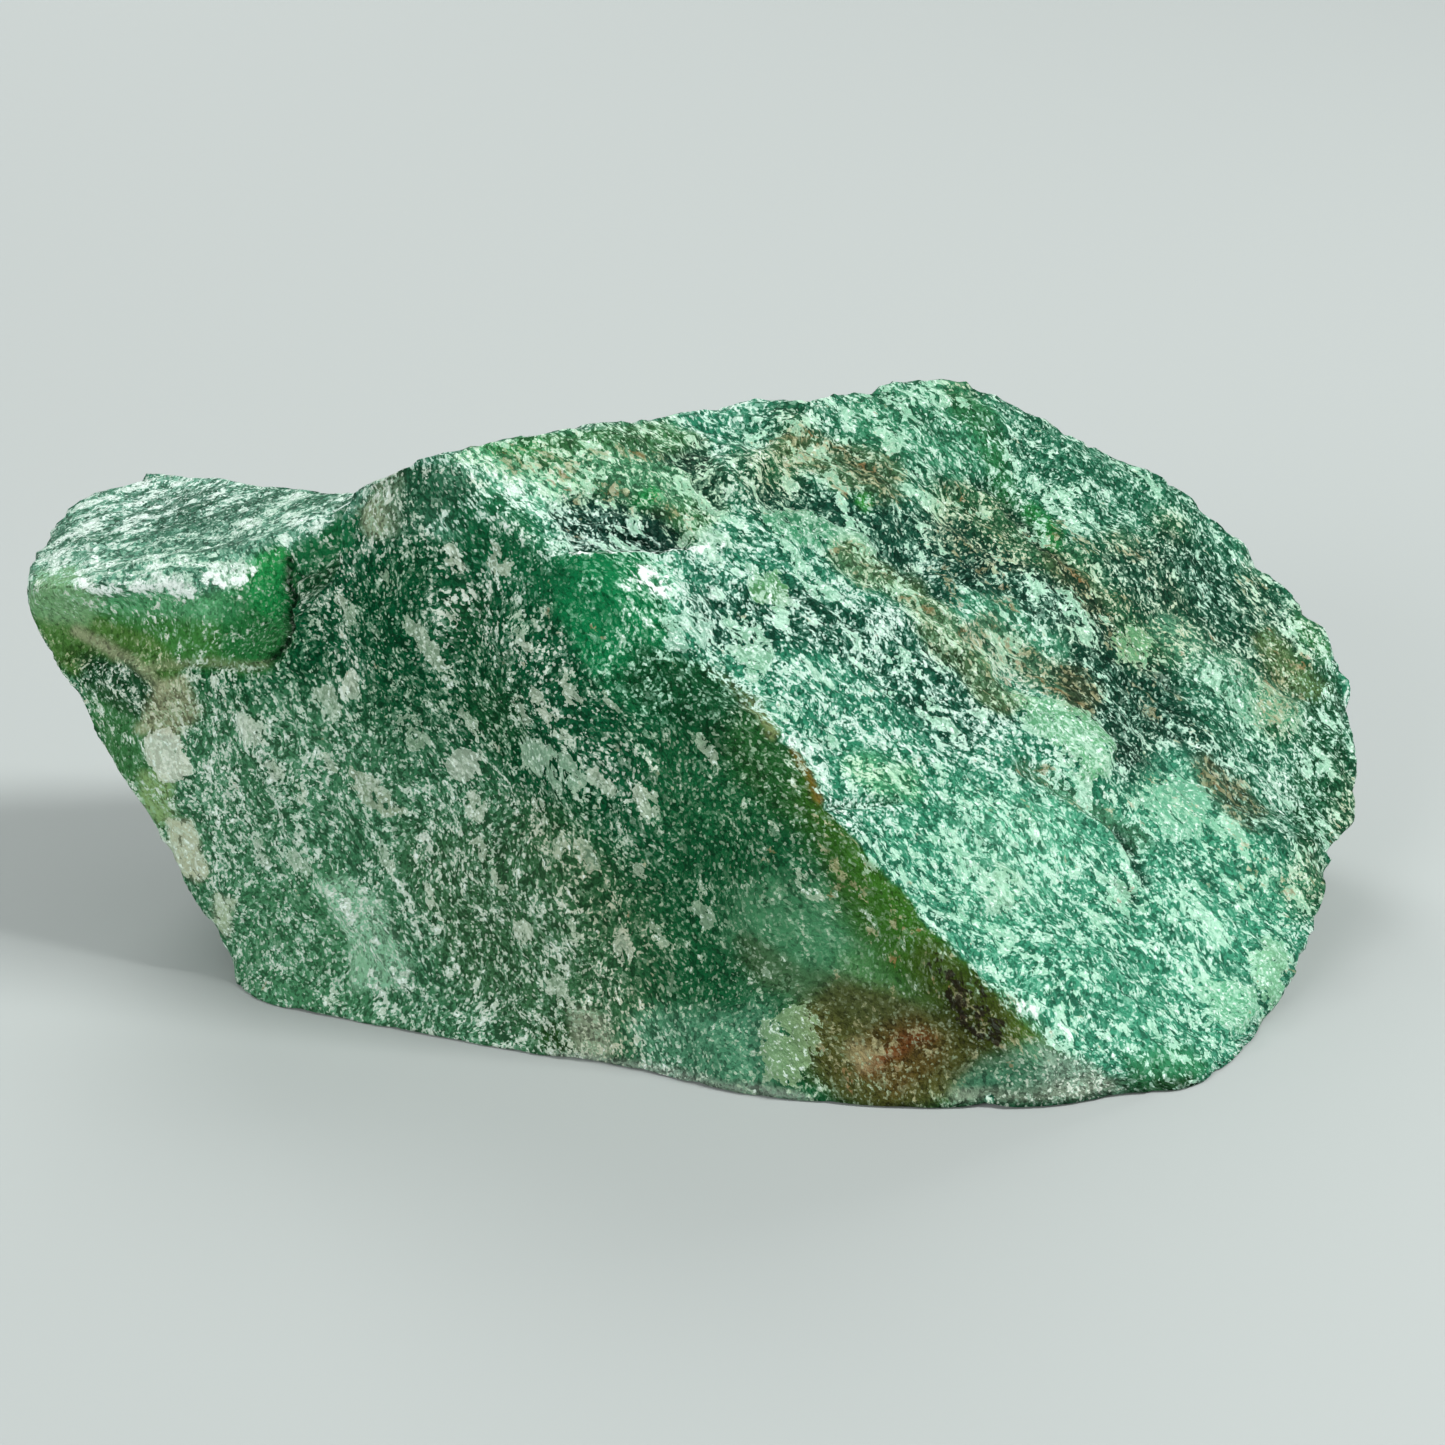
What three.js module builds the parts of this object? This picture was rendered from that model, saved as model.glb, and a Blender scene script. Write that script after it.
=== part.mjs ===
// Raw aventurine: one broken lump of green quartz, lying on its flat underside.
// Millimetres, +Z up. +X runs along its length, the long speckled break faces -Y, a streaky break
// slopes down toward +X and -Y, and a low flat-topped ledge sticks out at the -X end.
import * as THREE from 'three';
import { mergeVertices } from 'three/addons/utils/BufferGeometryUtils.js';
import { ImprovedNoise } from 'three/addons/math/ImprovedNoise.js';

// Driving dimensions, in millimetres and degrees.
const ROWS_PER_EDGE = 20; // splits of an icosahedron's edge that the skin's grid starts from
const RELAX_ROUNDS = 22; // times the grid is evened out over the stone
const CREASE_REACH = 6; // a grid point can move this far to sit on a crease
const CORNER_REACH = 8; // and this far to sit on a corner
const DULL_CREASE = 0.94; // faces whose normals agree more than this meet without a crease
const MEETING_PASSES = 60; // tries at finding where faces meet
const MEETING_SLACK = 0.05; // a meeting place this near to the skin counts as on it
const SETTLING_PASSES = 4;
const HEART = [-16, 2, 26]; // a point inside the stone that sees its whole skin
const STRETCH = [1.55, 1, 0.8]; // the grid's first shape, roughly the stone's own
const FARTHEST = 130; // no skin lies farther than this from the heart
const MARCH_STEP = 2; // step out from the heart in search of the skin
const HALVINGS = 16; // and how often that step is halved to place it

// The mica layers: the way they face, how far one wave of them runs along and across the layers,
// and how far the layers and the rounder lumps stand out from the flat breaks.
const LAYERS_FACE = [273, 9];
const LAYER_RUN = 19;
const LAYER_GAP = 4.6;
const LAYER_RELIEF = 0.85;
const LUMP_SIZE = 17;
const LUMP_RELIEF = 1.25;
const KNOB_SIZE = 6.5;
const KNOB_RELIEF = 0.45;
const UNDERSIDE_HOLLOWS = 2.4; // how far the underside's hollows rise over the surface it lies on
const UNDERSIDE_SLICE = 18.5; // level of the noise that leaves the middle of the underside flat
const CONTACT_LEVEL = 0.02; // noise below this is the part of the underside that touches
const LYING = 0.01; // a point lower than this is on the surface that the stone lies on
const FACES_DOWN = -0.98; // and within the underside, not on its edge, if its normal is below this

// Flat breaks: the azimuth and tilt that each one faces, and its reach from the origin.
const UNDERSIDE = flatBreak(0, -90, 0);
const FRONT_LEFT = flatBreak(248, 8.5, 31.1);
const FRONT_MID = flatBreak(259, 12.5, 32.2);
const SLOPE = flatBreak(310, 43.5, 40.6);
const RIM_LOW = flatBreak(345, -32, 53.5);
const TOE_FOOT = flatBreak(290, -32, 40.6);
const BACK_RIGHT = flatBreak(50, -10, 61.5);
const BACK_MID = flatBreak(86, -3, 40.8);
const BACK_LEFT = flatBreak(112, -6, 43.2);
const BACK_FOOT = flatBreak(78, -48, 21);
const BACK_FOOT_RIGHT = flatBreak(38, -44, 43);
const COMMON = [
  UNDERSIDE, FRONT_LEFT, FRONT_MID, SLOPE, RIM_LOW, TOE_FOOT,
  BACK_RIGHT, BACK_MID, BACK_LEFT, BACK_FOOT, BACK_FOOT_RIGHT,
];

// The main block, with the sloping streaky break, the crest behind it and the rim at its right.
const BLOCK = [
  ...COMMON,
  flatBreak(311.8, 49, 41.6), // upper slope
  flatBreak(316, 42, 42.2), // right slope
  flatBreak(120, 50, 52.4), // crest, left
  flatBreak(100, 52, 60.8), // crest, middle
  flatBreak(67, 41.5, 65.8), // crest, right
  flatBreak(46, 31.5, 74.3), // rim, upper
  flatBreak(5, -4.5, 74.6), // rim, right
  flatBreak(193, 7.5, 53.1), // left end, low
  flatBreak(179.5, 36, 65.4), // left end, middle
  flatBreak(135, 53, 58.7), // left end, top
];

// The ledge at the left end, which runs on into the block.
const LEDGE = [
  ...COMMON,
  flatBreak(206, 73, 59.4), // flat top
  flatBreak(179.5, -32, 46.4), // underneath
  flatBreak(184.5, 1, 78.4), // end
  flatBreak(152, 30.5, 90.2), // back corner
  flatBreak(65, 44, 28.6), // back edge
  flatBreak(150, -20, 57), // lower back corner
];

// Bites out of the lump: each is gone wherever all of its faces are passed.
const BITES = [
  [scoop([-80, 0, 37], [-57, -7.5, 42], 6)], // under the ledge's lip
  [scoop([-57, -7.5, 42], [-44, -3, 52], 6.5)], // and on into the corner that it makes with the block
  [scoop([6, -10, 84], [4, 3, 83], 26.6)], // hollow behind the slope's top edge
  [scoop([75, 10, 4], [73.5, 3, 5], 5)], // chip out of the right rim
  [flatBreak(92, 2, 33.5), flatBreak(186, 14, 13)], // slab gone from the back
  [scoop([30, 74, 18], [42, 72, 26], 38)], // shell-shaped break in the back
];

function flatBreak(azimuth, tilt, reach) {
  const outward = facing(azimuth, tilt);
  return {
    height: (point) => outward.dot(point) - reach,
    outward: () => outward,
  };
}

function scoop(start, end, radius) {
  const spine = new THREE.Line3(new THREE.Vector3(...start), new THREE.Vector3(...end));
  const nearest = (point) => spine.closestPointToPoint(point, true, new THREE.Vector3());
  return {
    height: (point) => radius - nearest(point).distanceTo(point),
    outward: (point) => nearest(point).sub(point).normalize(),
  };
}

function facing(azimuth, tilt) {
  const turn = THREE.MathUtils.degToRad(azimuth);
  const rise = THREE.MathUtils.degToRad(tilt);
  const level = Math.cos(rise);
  return new THREE.Vector3(level * Math.cos(turn), level * Math.sin(turn), Math.sin(rise));
}

function highest(faces, point) {
  let found = { height: -Infinity, face: null };
  for (const face of faces) {
    const height = face.height(point);
    if (height > found.height) found = { height, face };
  }
  return found;
}

function lowest(faces, point) {
  let found = { height: Infinity, face: null };
  for (const face of faces) {
    const height = face.height(point);
    if (height < found.height) found = { height, face };
  }
  return found;
}

// How far a point stands outside the stone, and the face that it is measured from.
function skinAt(point) {
  const block = highest(BLOCK, point);
  const ledge = highest(LEDGE, point);
  let found = block.height < ledge.height ? block : ledge;
  for (const bite of BITES) {
    const gone = lowest(bite, point);
    if (gone.height > found.height) found = gone;
  }
  return found;
}

// Moves a point along its ray from the heart onto the skin.
function dropOnSkin(point, heart) {
  const ray = point.clone().sub(heart).normalize();
  const at = (distance) => point.copy(heart).addScaledVector(ray, distance);
  let outside = MARCH_STEP;
  while (outside < FARTHEST && skinAt(at(outside)).height < 0) outside += MARCH_STEP;
  let inside = outside - MARCH_STEP;
  for (let i = 0; i < HALVINGS; i += 1) {
    const middle = (inside + outside) / 2;
    if (skinAt(at(middle)).height < 0) inside = middle;
    else outside = middle;
  }
  at(outside);
}

// Moves a point the shortest way onto the skin, and says which face it is on.
function settleOnSkin(point) {
  for (let pass = 0; pass < SETTLING_PASSES; pass += 1) {
    const { height, face } = skinAt(point);
    point.addScaledVector(face.outward(point), -height);
  }
  return skinAt(point).face;
}

// The place nearest to a point that lies on all the given faces at once.
function meet(point, faces) {
  const place = point.clone();
  for (let pass = 0; pass < MEETING_PASSES; pass += 1) {
    for (const face of faces) place.addScaledVector(face.outward(place), -face.height(place));
  }
  return place;
}

// Where a point would sit on the crease between two faces. If a third face cuts that crease away,
// the crease with the third face is used.
function creaseSeat(point, own, other) {
  const place = meet(point, [own, other]);
  const { height, face } = skinAt(place);
  if (Math.abs(height) < MEETING_SLACK) return { place, meeting: [own, other] };
  if (face === own || face === other || !isSharp(own, face, point)) return null;
  const beside = meet(point, [own, face]);
  const isOnSkin = Math.abs(skinAt(beside).height) < MEETING_SLACK;
  return isOnSkin ? { place: beside, meeting: [own, face] } : null;
}

function pairsOf(items) {
  return items.flatMap((one, i) => items.slice(i + 1).map((other) => [one, other]));
}

function isSharp(one, other, point) {
  return one.outward(point).dot(other.outward(point)) < DULL_CREASE;
}

// The corner or crease place that a grid point should take, with the faces that meet there: the
// nearest one that no neighbour across the crease is nearer to.
function seatFor(i, points, faces, near) {
  const point = points[i];
  const own = faces[i];
  const across = near[i].filter((j) => faces[j] !== own && isSharp(own, faces[j], point));
  for (const [one, other] of pairsOf([...new Set(across.map((j) => faces[j]))])) {
    const place = meet(point, [own, one, other]);
    const away = place.distanceTo(point);
    const isCorner = Math.abs(skinAt(place).height) < MEETING_SLACK;
    const isNearest = near[i].every((j) => points[j].distanceTo(place) >= away);
    if (isCorner && isNearest && away < CORNER_REACH) return { place, meeting: [own, one, other] };
  }
  let seat = { place: point, meeting: [own] };
  let nearest = CREASE_REACH;
  for (const j of across) {
    const found = creaseSeat(point, own, faces[j]);
    const rival = creaseSeat(points[j], faces[j], own);
    const away = found ? found.place.distanceTo(point) : Infinity;
    const isNearer = !rival || away <= rival.place.distanceTo(points[j]);
    if (away < nearest && isNearer) {
      seat = found;
      nearest = away;
    }
  }
  return seat;
}

// Moves the grid toward even spacing. A point on a crease only moves along it.
function evenOut(points, seats, near) {
  return points.map((point, i) => {
    const meeting = seats[i].meeting;
    const sameCrease = near[i].filter((j) => meeting.every((face) => seats[j].meeting.includes(face)));
    if (meeting.length > 2) return point.clone();
    const isMidCrease = meeting.length === 2 && sameCrease.length > 1;
    const pulls = isMidCrease ? sameCrease : near[i];
    const middle = new THREE.Vector3();
    for (const j of pulls) middle.addScaledVector(points[j], 1 / pulls.length);
    return middle;
  });
}

function neighboursOf(geometry) {
  const index = geometry.index;
  const near = Array.from({ length: geometry.attributes.position.count }, () => new Set());
  for (let i = 0; i < index.count; i += 3) {
    const corners = [index.getX(i), index.getX(i + 1), index.getX(i + 2)];
    for (const a of corners) {
      for (const b of corners) if (a !== b) near[a].add(b);
    }
  }
  return near.map((set) => [...set]);
}

const noise = new ImprovedNoise();
const layersFace = facing(...LAYERS_FACE);
const alongLayers = new THREE.Vector3(0, 0, 1).cross(layersFace).normalize();
const upLayers = layersFace.clone().cross(alongLayers);

// How far the worn and layered surface stands out from the flat breaks at a point.
function relief(point) {
  const lumps = noise.noise(point.x / LUMP_SIZE, point.y / LUMP_SIZE, point.z / LUMP_SIZE);
  const knobs = noise.noise(point.z / KNOB_SIZE, point.x / KNOB_SIZE, point.y / KNOB_SIZE);
  const layers = noise.noise(
    point.dot(alongLayers) / LAYER_RUN,
    point.dot(upLayers) / LAYER_RUN,
    point.dot(layersFace) / LAYER_GAP + lumps,
  );
  return LUMP_RELIEF * lumps + LAYER_RELIEF * layers + KNOB_RELIEF * knobs;
}

function undersideRise(point) {
  const swell = noise.noise(point.x / LUMP_SIZE, point.y / LUMP_SIZE, UNDERSIDE_SLICE);
  return UNDERSIDE_HOLLOWS * Math.max(0, swell - CONTACT_LEVEL);
}

function stoneGeometry() {
  const sphere = new THREE.IcosahedronGeometry(1, ROWS_PER_EDGE);
  sphere.deleteAttribute('normal');
  sphere.deleteAttribute('uv');
  const geometry = mergeVertices(sphere);
  const heart = new THREE.Vector3(...HEART);
  const stretch = new THREE.Vector3(...STRETCH);
  const position = geometry.attributes.position;
  const near = neighboursOf(geometry);
  let points = near.map((_, i) => new THREE.Vector3().fromBufferAttribute(position, i));
  for (const point of points) dropOnSkin(point.multiply(stretch).add(heart), heart);

  for (let round = 0; round < RELAX_ROUNDS; round += 1) {
    const faces = points.map(settleOnSkin);
    const seats = points.map((_, i) => seatFor(i, points, faces, near));
    points = seats.map((seat) => seat.place);
    if (round < RELAX_ROUNDS - 1) points = evenOut(points, seats, near);
  }

  points.forEach((point, i) => position.setXYZ(i, point.x, point.y, point.z));
  geometry.computeVertexNormals();
  const outward = new THREE.Vector3();
  points.forEach((point, i) => {
    outward.fromBufferAttribute(geometry.attributes.normal, i);
    if (point.z > LYING) point.addScaledVector(outward, relief(point));
    else if (outward.z < FACES_DOWN) point.z = undersideRise(point);
    position.setXYZ(i, point.x, point.y, Math.max(0, point.z));
  });
  return geometry;
}

const geometry = stoneGeometry();
geometry.computeBoundingBox();
const box = geometry.boundingBox;
geometry.translate(-(box.min.x + box.max.x) / 2, -(box.min.y + box.max.y) / 2, -box.min.z);
geometry.computeVertexNormals();

const material = new THREE.MeshStandardMaterial({ color: '#2f7355', roughness: 0.5, metalness: 0 });
const aventurine = new THREE.Mesh(geometry, material);
aventurine.name = 'aventurine';

const stone = new THREE.Group();
stone.add(aventurine);
export default stone;
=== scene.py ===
"""Raw aventurine: one broken lump of green quartz full of mica, lying on a pale table."""
import math

import bpy
import numpy as np
from mathutils import Matrix, Vector, noise


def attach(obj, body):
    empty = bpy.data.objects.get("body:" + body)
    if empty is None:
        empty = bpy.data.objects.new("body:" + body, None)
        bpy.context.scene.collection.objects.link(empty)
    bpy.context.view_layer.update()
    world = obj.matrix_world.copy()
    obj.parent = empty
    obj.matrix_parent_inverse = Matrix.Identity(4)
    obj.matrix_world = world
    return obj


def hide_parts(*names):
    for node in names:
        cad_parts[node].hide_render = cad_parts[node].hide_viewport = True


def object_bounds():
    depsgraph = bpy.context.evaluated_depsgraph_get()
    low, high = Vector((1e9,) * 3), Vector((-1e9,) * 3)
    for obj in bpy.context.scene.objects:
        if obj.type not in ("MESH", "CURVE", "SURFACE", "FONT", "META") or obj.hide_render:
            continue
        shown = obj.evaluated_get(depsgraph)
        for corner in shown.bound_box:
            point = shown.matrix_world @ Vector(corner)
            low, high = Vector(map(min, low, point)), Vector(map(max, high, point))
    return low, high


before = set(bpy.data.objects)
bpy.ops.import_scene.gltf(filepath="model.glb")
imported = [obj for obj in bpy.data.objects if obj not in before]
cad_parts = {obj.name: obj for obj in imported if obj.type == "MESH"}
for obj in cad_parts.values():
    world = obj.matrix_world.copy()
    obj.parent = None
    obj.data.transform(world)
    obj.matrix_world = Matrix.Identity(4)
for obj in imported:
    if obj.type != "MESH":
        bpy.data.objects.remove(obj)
cad_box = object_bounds()

MM = 0.001

# ---------------------------------------------------------------- camera

FRAME_PIXELS = 1445
PIXELS_PER_MM = 8.9
CAMERA_DISTANCE_MM = 400.0
CAMERA_ELEVATION = math.radians(25.0)
LOOK_AT_MM = Vector((1.916, -1.969, 27.0))
SENSOR_MM = 36.0
FOCAL_PIXELS = PIXELS_PER_MM * CAMERA_DISTANCE_MM
VIEW_FORWARD = Vector((0.0, math.cos(CAMERA_ELEVATION), -math.sin(CAMERA_ELEVATION)))
VIEW_RIGHT = Vector((1.0, 0.0, 0.0))
VIEW_UP = Vector((0.0, math.sin(CAMERA_ELEVATION), math.cos(CAMERA_ELEVATION)))
EYE_MM = LOOK_AT_MM - VIEW_FORWARD * CAMERA_DISTANCE_MM

camera_data = bpy.data.cameras.new("camera")
camera_data.sensor_width = SENSOR_MM
camera_data.lens = FOCAL_PIXELS / FRAME_PIXELS * SENSOR_MM
camera = bpy.data.objects.new("camera", camera_data)
camera.location = EYE_MM * MM
camera.rotation_euler = (math.pi / 2 - CAMERA_ELEVATION, 0.0, 0.0)
bpy.context.scene.collection.objects.link(camera)
bpy.context.scene.camera = camera

# ---------------------------------------------------------------- how the stone is layered

LAYER_AZIMUTH = math.radians(273.0)
LAYER_TILT = math.radians(9.0)
LAYER_NORMAL = Vector((
    math.cos(LAYER_AZIMUTH) * math.cos(LAYER_TILT),
    math.sin(LAYER_AZIMUTH) * math.cos(LAYER_TILT),
    math.sin(LAYER_TILT),
))
STRETCH_HINT = Vector((0.48, -0.11, -0.87))
STRETCH_LINE = (STRETCH_HINT - LAYER_NORMAL * STRETCH_HINT.dot(LAYER_NORMAL)).normalized()
CROSS_LINE = LAYER_NORMAL.cross(STRETCH_LINE)
LAYER_TURN = Matrix((STRETCH_LINE, CROSS_LINE, LAYER_NORMAL)).transposed().to_euler()


def colour(text):
    """An sRGB hex colour as linear red, green, blue and alpha."""
    parts = [int(text[i:i + 2], 16) / 255 for i in (1, 3, 5)]
    linear = [p / 12.92 if p <= 0.04045 else ((p + 0.055) / 1.055) ** 2.4 for p in parts]
    return (*linear, 1.0)


# ---------------------------------------------------------------- meshes and noise

WELD_MM = 0.002
# noise: how fast each octave fades, how much finer it is than the last, and how far a seed moves it
NOISE_FADE = 0.9
NOISE_FINER = 2.1
SEED_STEP = (17.3, 5.9, -11.1)
# where in its rise a slab breaks off, and the height in its middle
SLAB_BREAK = 0.72
SLAB_MIDDLE = 0.36


def fine_copy(source, name, cuts):
    """A copy of a CAD node's mesh as a piece of its own: merged, then every face cut finer."""
    bpy.ops.object.select_all(action="DESELECT")
    piece = bpy.data.objects.new(name, source.data.copy())
    piece.data.materials.clear()
    bpy.context.scene.collection.objects.link(piece)
    piece.select_set(True)
    bpy.context.view_layer.objects.active = piece
    bpy.ops.object.mode_set(mode="EDIT")
    bpy.ops.mesh.select_all(action="SELECT")
    bpy.ops.mesh.remove_doubles(threshold=WELD_MM * MM)
    bpy.ops.mesh.subdivide(number_cuts=cuts)
    bpy.ops.mesh.quads_convert_to_tris()
    bpy.ops.mesh.normals_make_consistent(inside=False)
    bpy.ops.object.mode_set(mode="OBJECT")
    return piece


def points_of(mesh):
    """Every vertex in millimetres."""
    flat = np.empty(len(mesh.vertices) * 3)
    mesh.vertices.foreach_get("co", flat)
    return flat.reshape(-1, 3) / MM


def edges_of(mesh):
    """The two vertices of every edge."""
    flat = np.empty(len(mesh.edges) * 2, dtype=np.int32)
    mesh.edges.foreach_get("vertices", flat)
    return flat.reshape(-1, 2)


def normals_of(mesh):
    """Every vertex's outward direction."""
    flat = np.empty(len(mesh.vertices) * 3)
    mesh.vertex_normals.foreach_get("vector", flat)
    return flat.reshape(-1, 3)


def place_points(mesh, points):
    """Moves every vertex to its point in millimetres."""
    mesh.vertices.foreach_set("co", (points * MM).ravel())
    mesh.update()


def averaged(values, edges, rounds):
    """Values with each vertex set to the mean of its neighbours, over and over."""
    count = len(values)
    joined = np.bincount(edges.ravel(), minlength=count)
    out = values.reshape(count, -1).copy()
    for _ in range(rounds):
        for column in range(out.shape[1]):
            one = out[:, column]
            near = np.bincount(edges[:, 0], weights=one[edges[:, 1]], minlength=count)
            near += np.bincount(edges[:, 1], weights=one[edges[:, 0]], minlength=count)
            out[:, column] = near / joined
    return out.reshape(values.shape)


def rise(values, low, high):
    """0 below low, 1 above high, and a soft slope between."""
    part = np.clip((values - low) / (high - low), 0.0, 1.0)
    return part * part * (3.0 - 2.0 * part)


def swell(points, size, octaves, seed):
    """Lumpy noise from about -1 to 1, with lumps of that size in mm, at every point."""
    shift = Vector([seed * way for way in SEED_STEP])
    return np.array([
        noise.fractal(Vector(p) + shift, NOISE_FADE, NOISE_FINER, octaves) for p in points / size])


def in_layers(points, along, across, through):
    """Points in the layers' own frame, squeezed by those sizes in mm."""
    turn = np.array((STRETCH_LINE / along, CROSS_LINE / across, LAYER_NORMAL / through))
    return points @ turn.T


def drawn(points, sizes, octaves, seed):
    """Noise whose lumps have those sizes in mm along, across and through the layers."""
    return swell(in_layers(points, *sizes), 1.0, octaves, seed)


def steps(values):
    """A saw-tooth of broken slabs: a slow rise, then a sharp drop, once in each whole value."""
    part = values - np.floor(values)
    return part - rise(part, SLAB_BREAK, 1.0) - SLAB_MIDDLE


# ---------------------------------------------------------------- places on the lump

# the cosine to the line of sight at which a vertex isn't seen, and from which it is
TURNED_AWAY = -0.1
TURNED_TO = 0.2
# a stroke is full this near its line and gone this far from it, as shares of its width
STROKE_CORE = 0.25
STROKE_END = 0.75
FAR = 1e9
TINY = 1e-9
# how far off its outline the rim may be in pixels, and the rounds that take its surroundings along
RIM_REACH = 30.0
RIM_SPREAD = 60
RIM_SOFTENING = 6
# below this height the rim moves along the table
LOW_RIM_MM = 4.0


def seen_from_camera(points, normals):
    """Each vertex's place in the frame in pixels, and 1 where it faces the camera."""
    away = points - np.array(EYE_MM)
    depth = away @ np.array(VIEW_FORWARD)
    across = FRAME_PIXELS / 2 + FOCAL_PIXELS * (away @ np.array(VIEW_RIGHT)) / depth
    down = FRAME_PIXELS / 2 - FOCAL_PIXELS * (away @ np.array(VIEW_UP)) / depth
    facing = -(normals * away).sum(axis=1) / np.linalg.norm(away, axis=1)
    return np.stack((across, down), axis=1), rise(facing, TURNED_AWAY, TURNED_TO)


def gap_to(places, start, end):
    """How far each place in the frame is from a straight line between two points."""
    first = np.array(start, float)
    along = np.array(end, float) - first
    part = np.clip(((places - first) @ along) / max(along @ along, TINY), 0.0, 1.0)
    return np.linalg.norm(places - first - part[:, None] * along, axis=1)


def stroke(places, line, width):
    """1 within a quarter of width of a line of points in the frame, fading to 0 at three quarters."""
    nearest = np.min([gap_to(places, start, end) for start, end in zip(line[:-1], line[1:])], axis=0)
    return 1.0 - rise(nearest, STROKE_CORE * width, STROKE_END * width)


def area(places, corners, fade):
    """1 inside a closed outline of points in the frame, fading to 0 over fade pixels outside."""
    inside = np.zeros(len(places), bool)
    nearest = np.full(len(places), FAR)
    for start, end in zip(corners, corners[1:] + corners[:1]):
        spans = (places[:, 1] > start[1]) != (places[:, 1] > end[1])
        level = (end[1] - start[1]) or TINY
        meet = start[0] + (places[:, 1] - start[1]) / level * (end[0] - start[0])
        inside ^= spans & (places[:, 0] < meet)
        nearest = np.minimum(nearest, gap_to(places, start, end))
    return np.where(inside, 1.0, 1.0 - rise(nearest, 0.0, fade))


def nearest_on(corners, place):
    """The point of a closed outline that is nearest to a place in the frame."""
    starts = np.array(corners, float)
    along = np.roll(starts, -1, axis=0) - starts
    part = np.clip(((place - starts) * along).sum(axis=1) / (along * along).sum(axis=1), 0.0, 1.0)
    nearest = starts + part[:, None] * along
    return nearest[np.argmin(np.linalg.norm(nearest - place, axis=1))]


def fitted_to_outline(points, normals, edges):
    """How far each vertex moves so that the lump's rim, seen from the camera, follows its outline.

    The rim moves square to the line of sight, or along the table where it is low, and takes
    what is near it along.
    """
    away = points - np.array(EYE_MM)
    facing = (normals * away).sum(axis=1)
    turning = facing[edges[:, 0]] * facing[edges[:, 1]] <= 0.0
    places, _ = seen_from_camera(points, normals)
    shift = np.zeros((len(points), 3))
    kept = []
    for one in np.unique(edges[turning]):
        gap = nearest_on(LUMP_OUTLINE, places[one]) - places[one]
        if np.linalg.norm(gap) > RIM_REACH:
            continue
        across, down = gap * (away[one] @ np.array(VIEW_FORWARD)) / FOCAL_PIXELS
        if points[one, 2] < LOW_RIM_MM:
            shift[one] = (across, -down / VIEW_UP.y, 0.0)
        else:
            shift[one] = across * np.array(VIEW_RIGHT) - down * np.array(VIEW_UP)
        kept.append(one)
    fixed = shift[kept].copy()
    for _ in range(RIM_SPREAD):
        shift = averaged(shift, edges, 1)
        shift[kept] = fixed
    return averaged(shift, edges, RIM_SOFTENING)


# The whole lump's outline, as it stands in the frame.
LUMP_OUTLINE = [
    (28, 600), (31, 570), (45, 545), (60, 520), (78, 502), (100, 490), (140, 478), (200, 474), (240, 485),
    (300, 491), (352, 494), (375, 485), (400, 465), (430, 457), (455, 452), (480, 445), (520, 435),
    (560, 427), (620, 420), (650, 418), (690, 412), (720, 404), (760, 404), (800, 402), (850, 397),
    (880, 388), (910, 381), (960, 381), (985, 392), (1010, 408), (1040, 420), (1075, 435), (1100, 450),
    (1130, 465), (1170, 480), (1190, 497), (1210, 515), (1230, 530), (1245, 550), (1265, 575),
    (1290, 597), (1315, 612), (1328, 632), (1335, 650), (1338, 680), (1342, 695), (1352, 700),
    (1352, 720), (1348, 740), (1350, 760), (1357, 790), (1357, 815), (1345, 830), (1330, 840),
    (1320, 860), (1322, 890), (1320, 920), (1308, 935), (1305, 960), (1290, 980), (1280, 1000),
    (1262, 1015), (1245, 1040), (1220, 1065), (1195, 1085), (1180, 1093), (1150, 1090), (1110, 1092),
    (1080, 1100), (1040, 1105), (1000, 1100), (960, 1105), (900, 1107), (850, 1103), (800, 1098),
    (760, 1095), (700, 1083), (650, 1070), (600, 1060), (530, 1052), (400, 1028), (250, 998), (240, 985),
    (235, 960), (215, 935), (195, 905), (180, 865), (150, 810), (125, 780), (105, 745), (90, 715),
    (75, 685), (55, 660), (40, 630),
]

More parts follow.
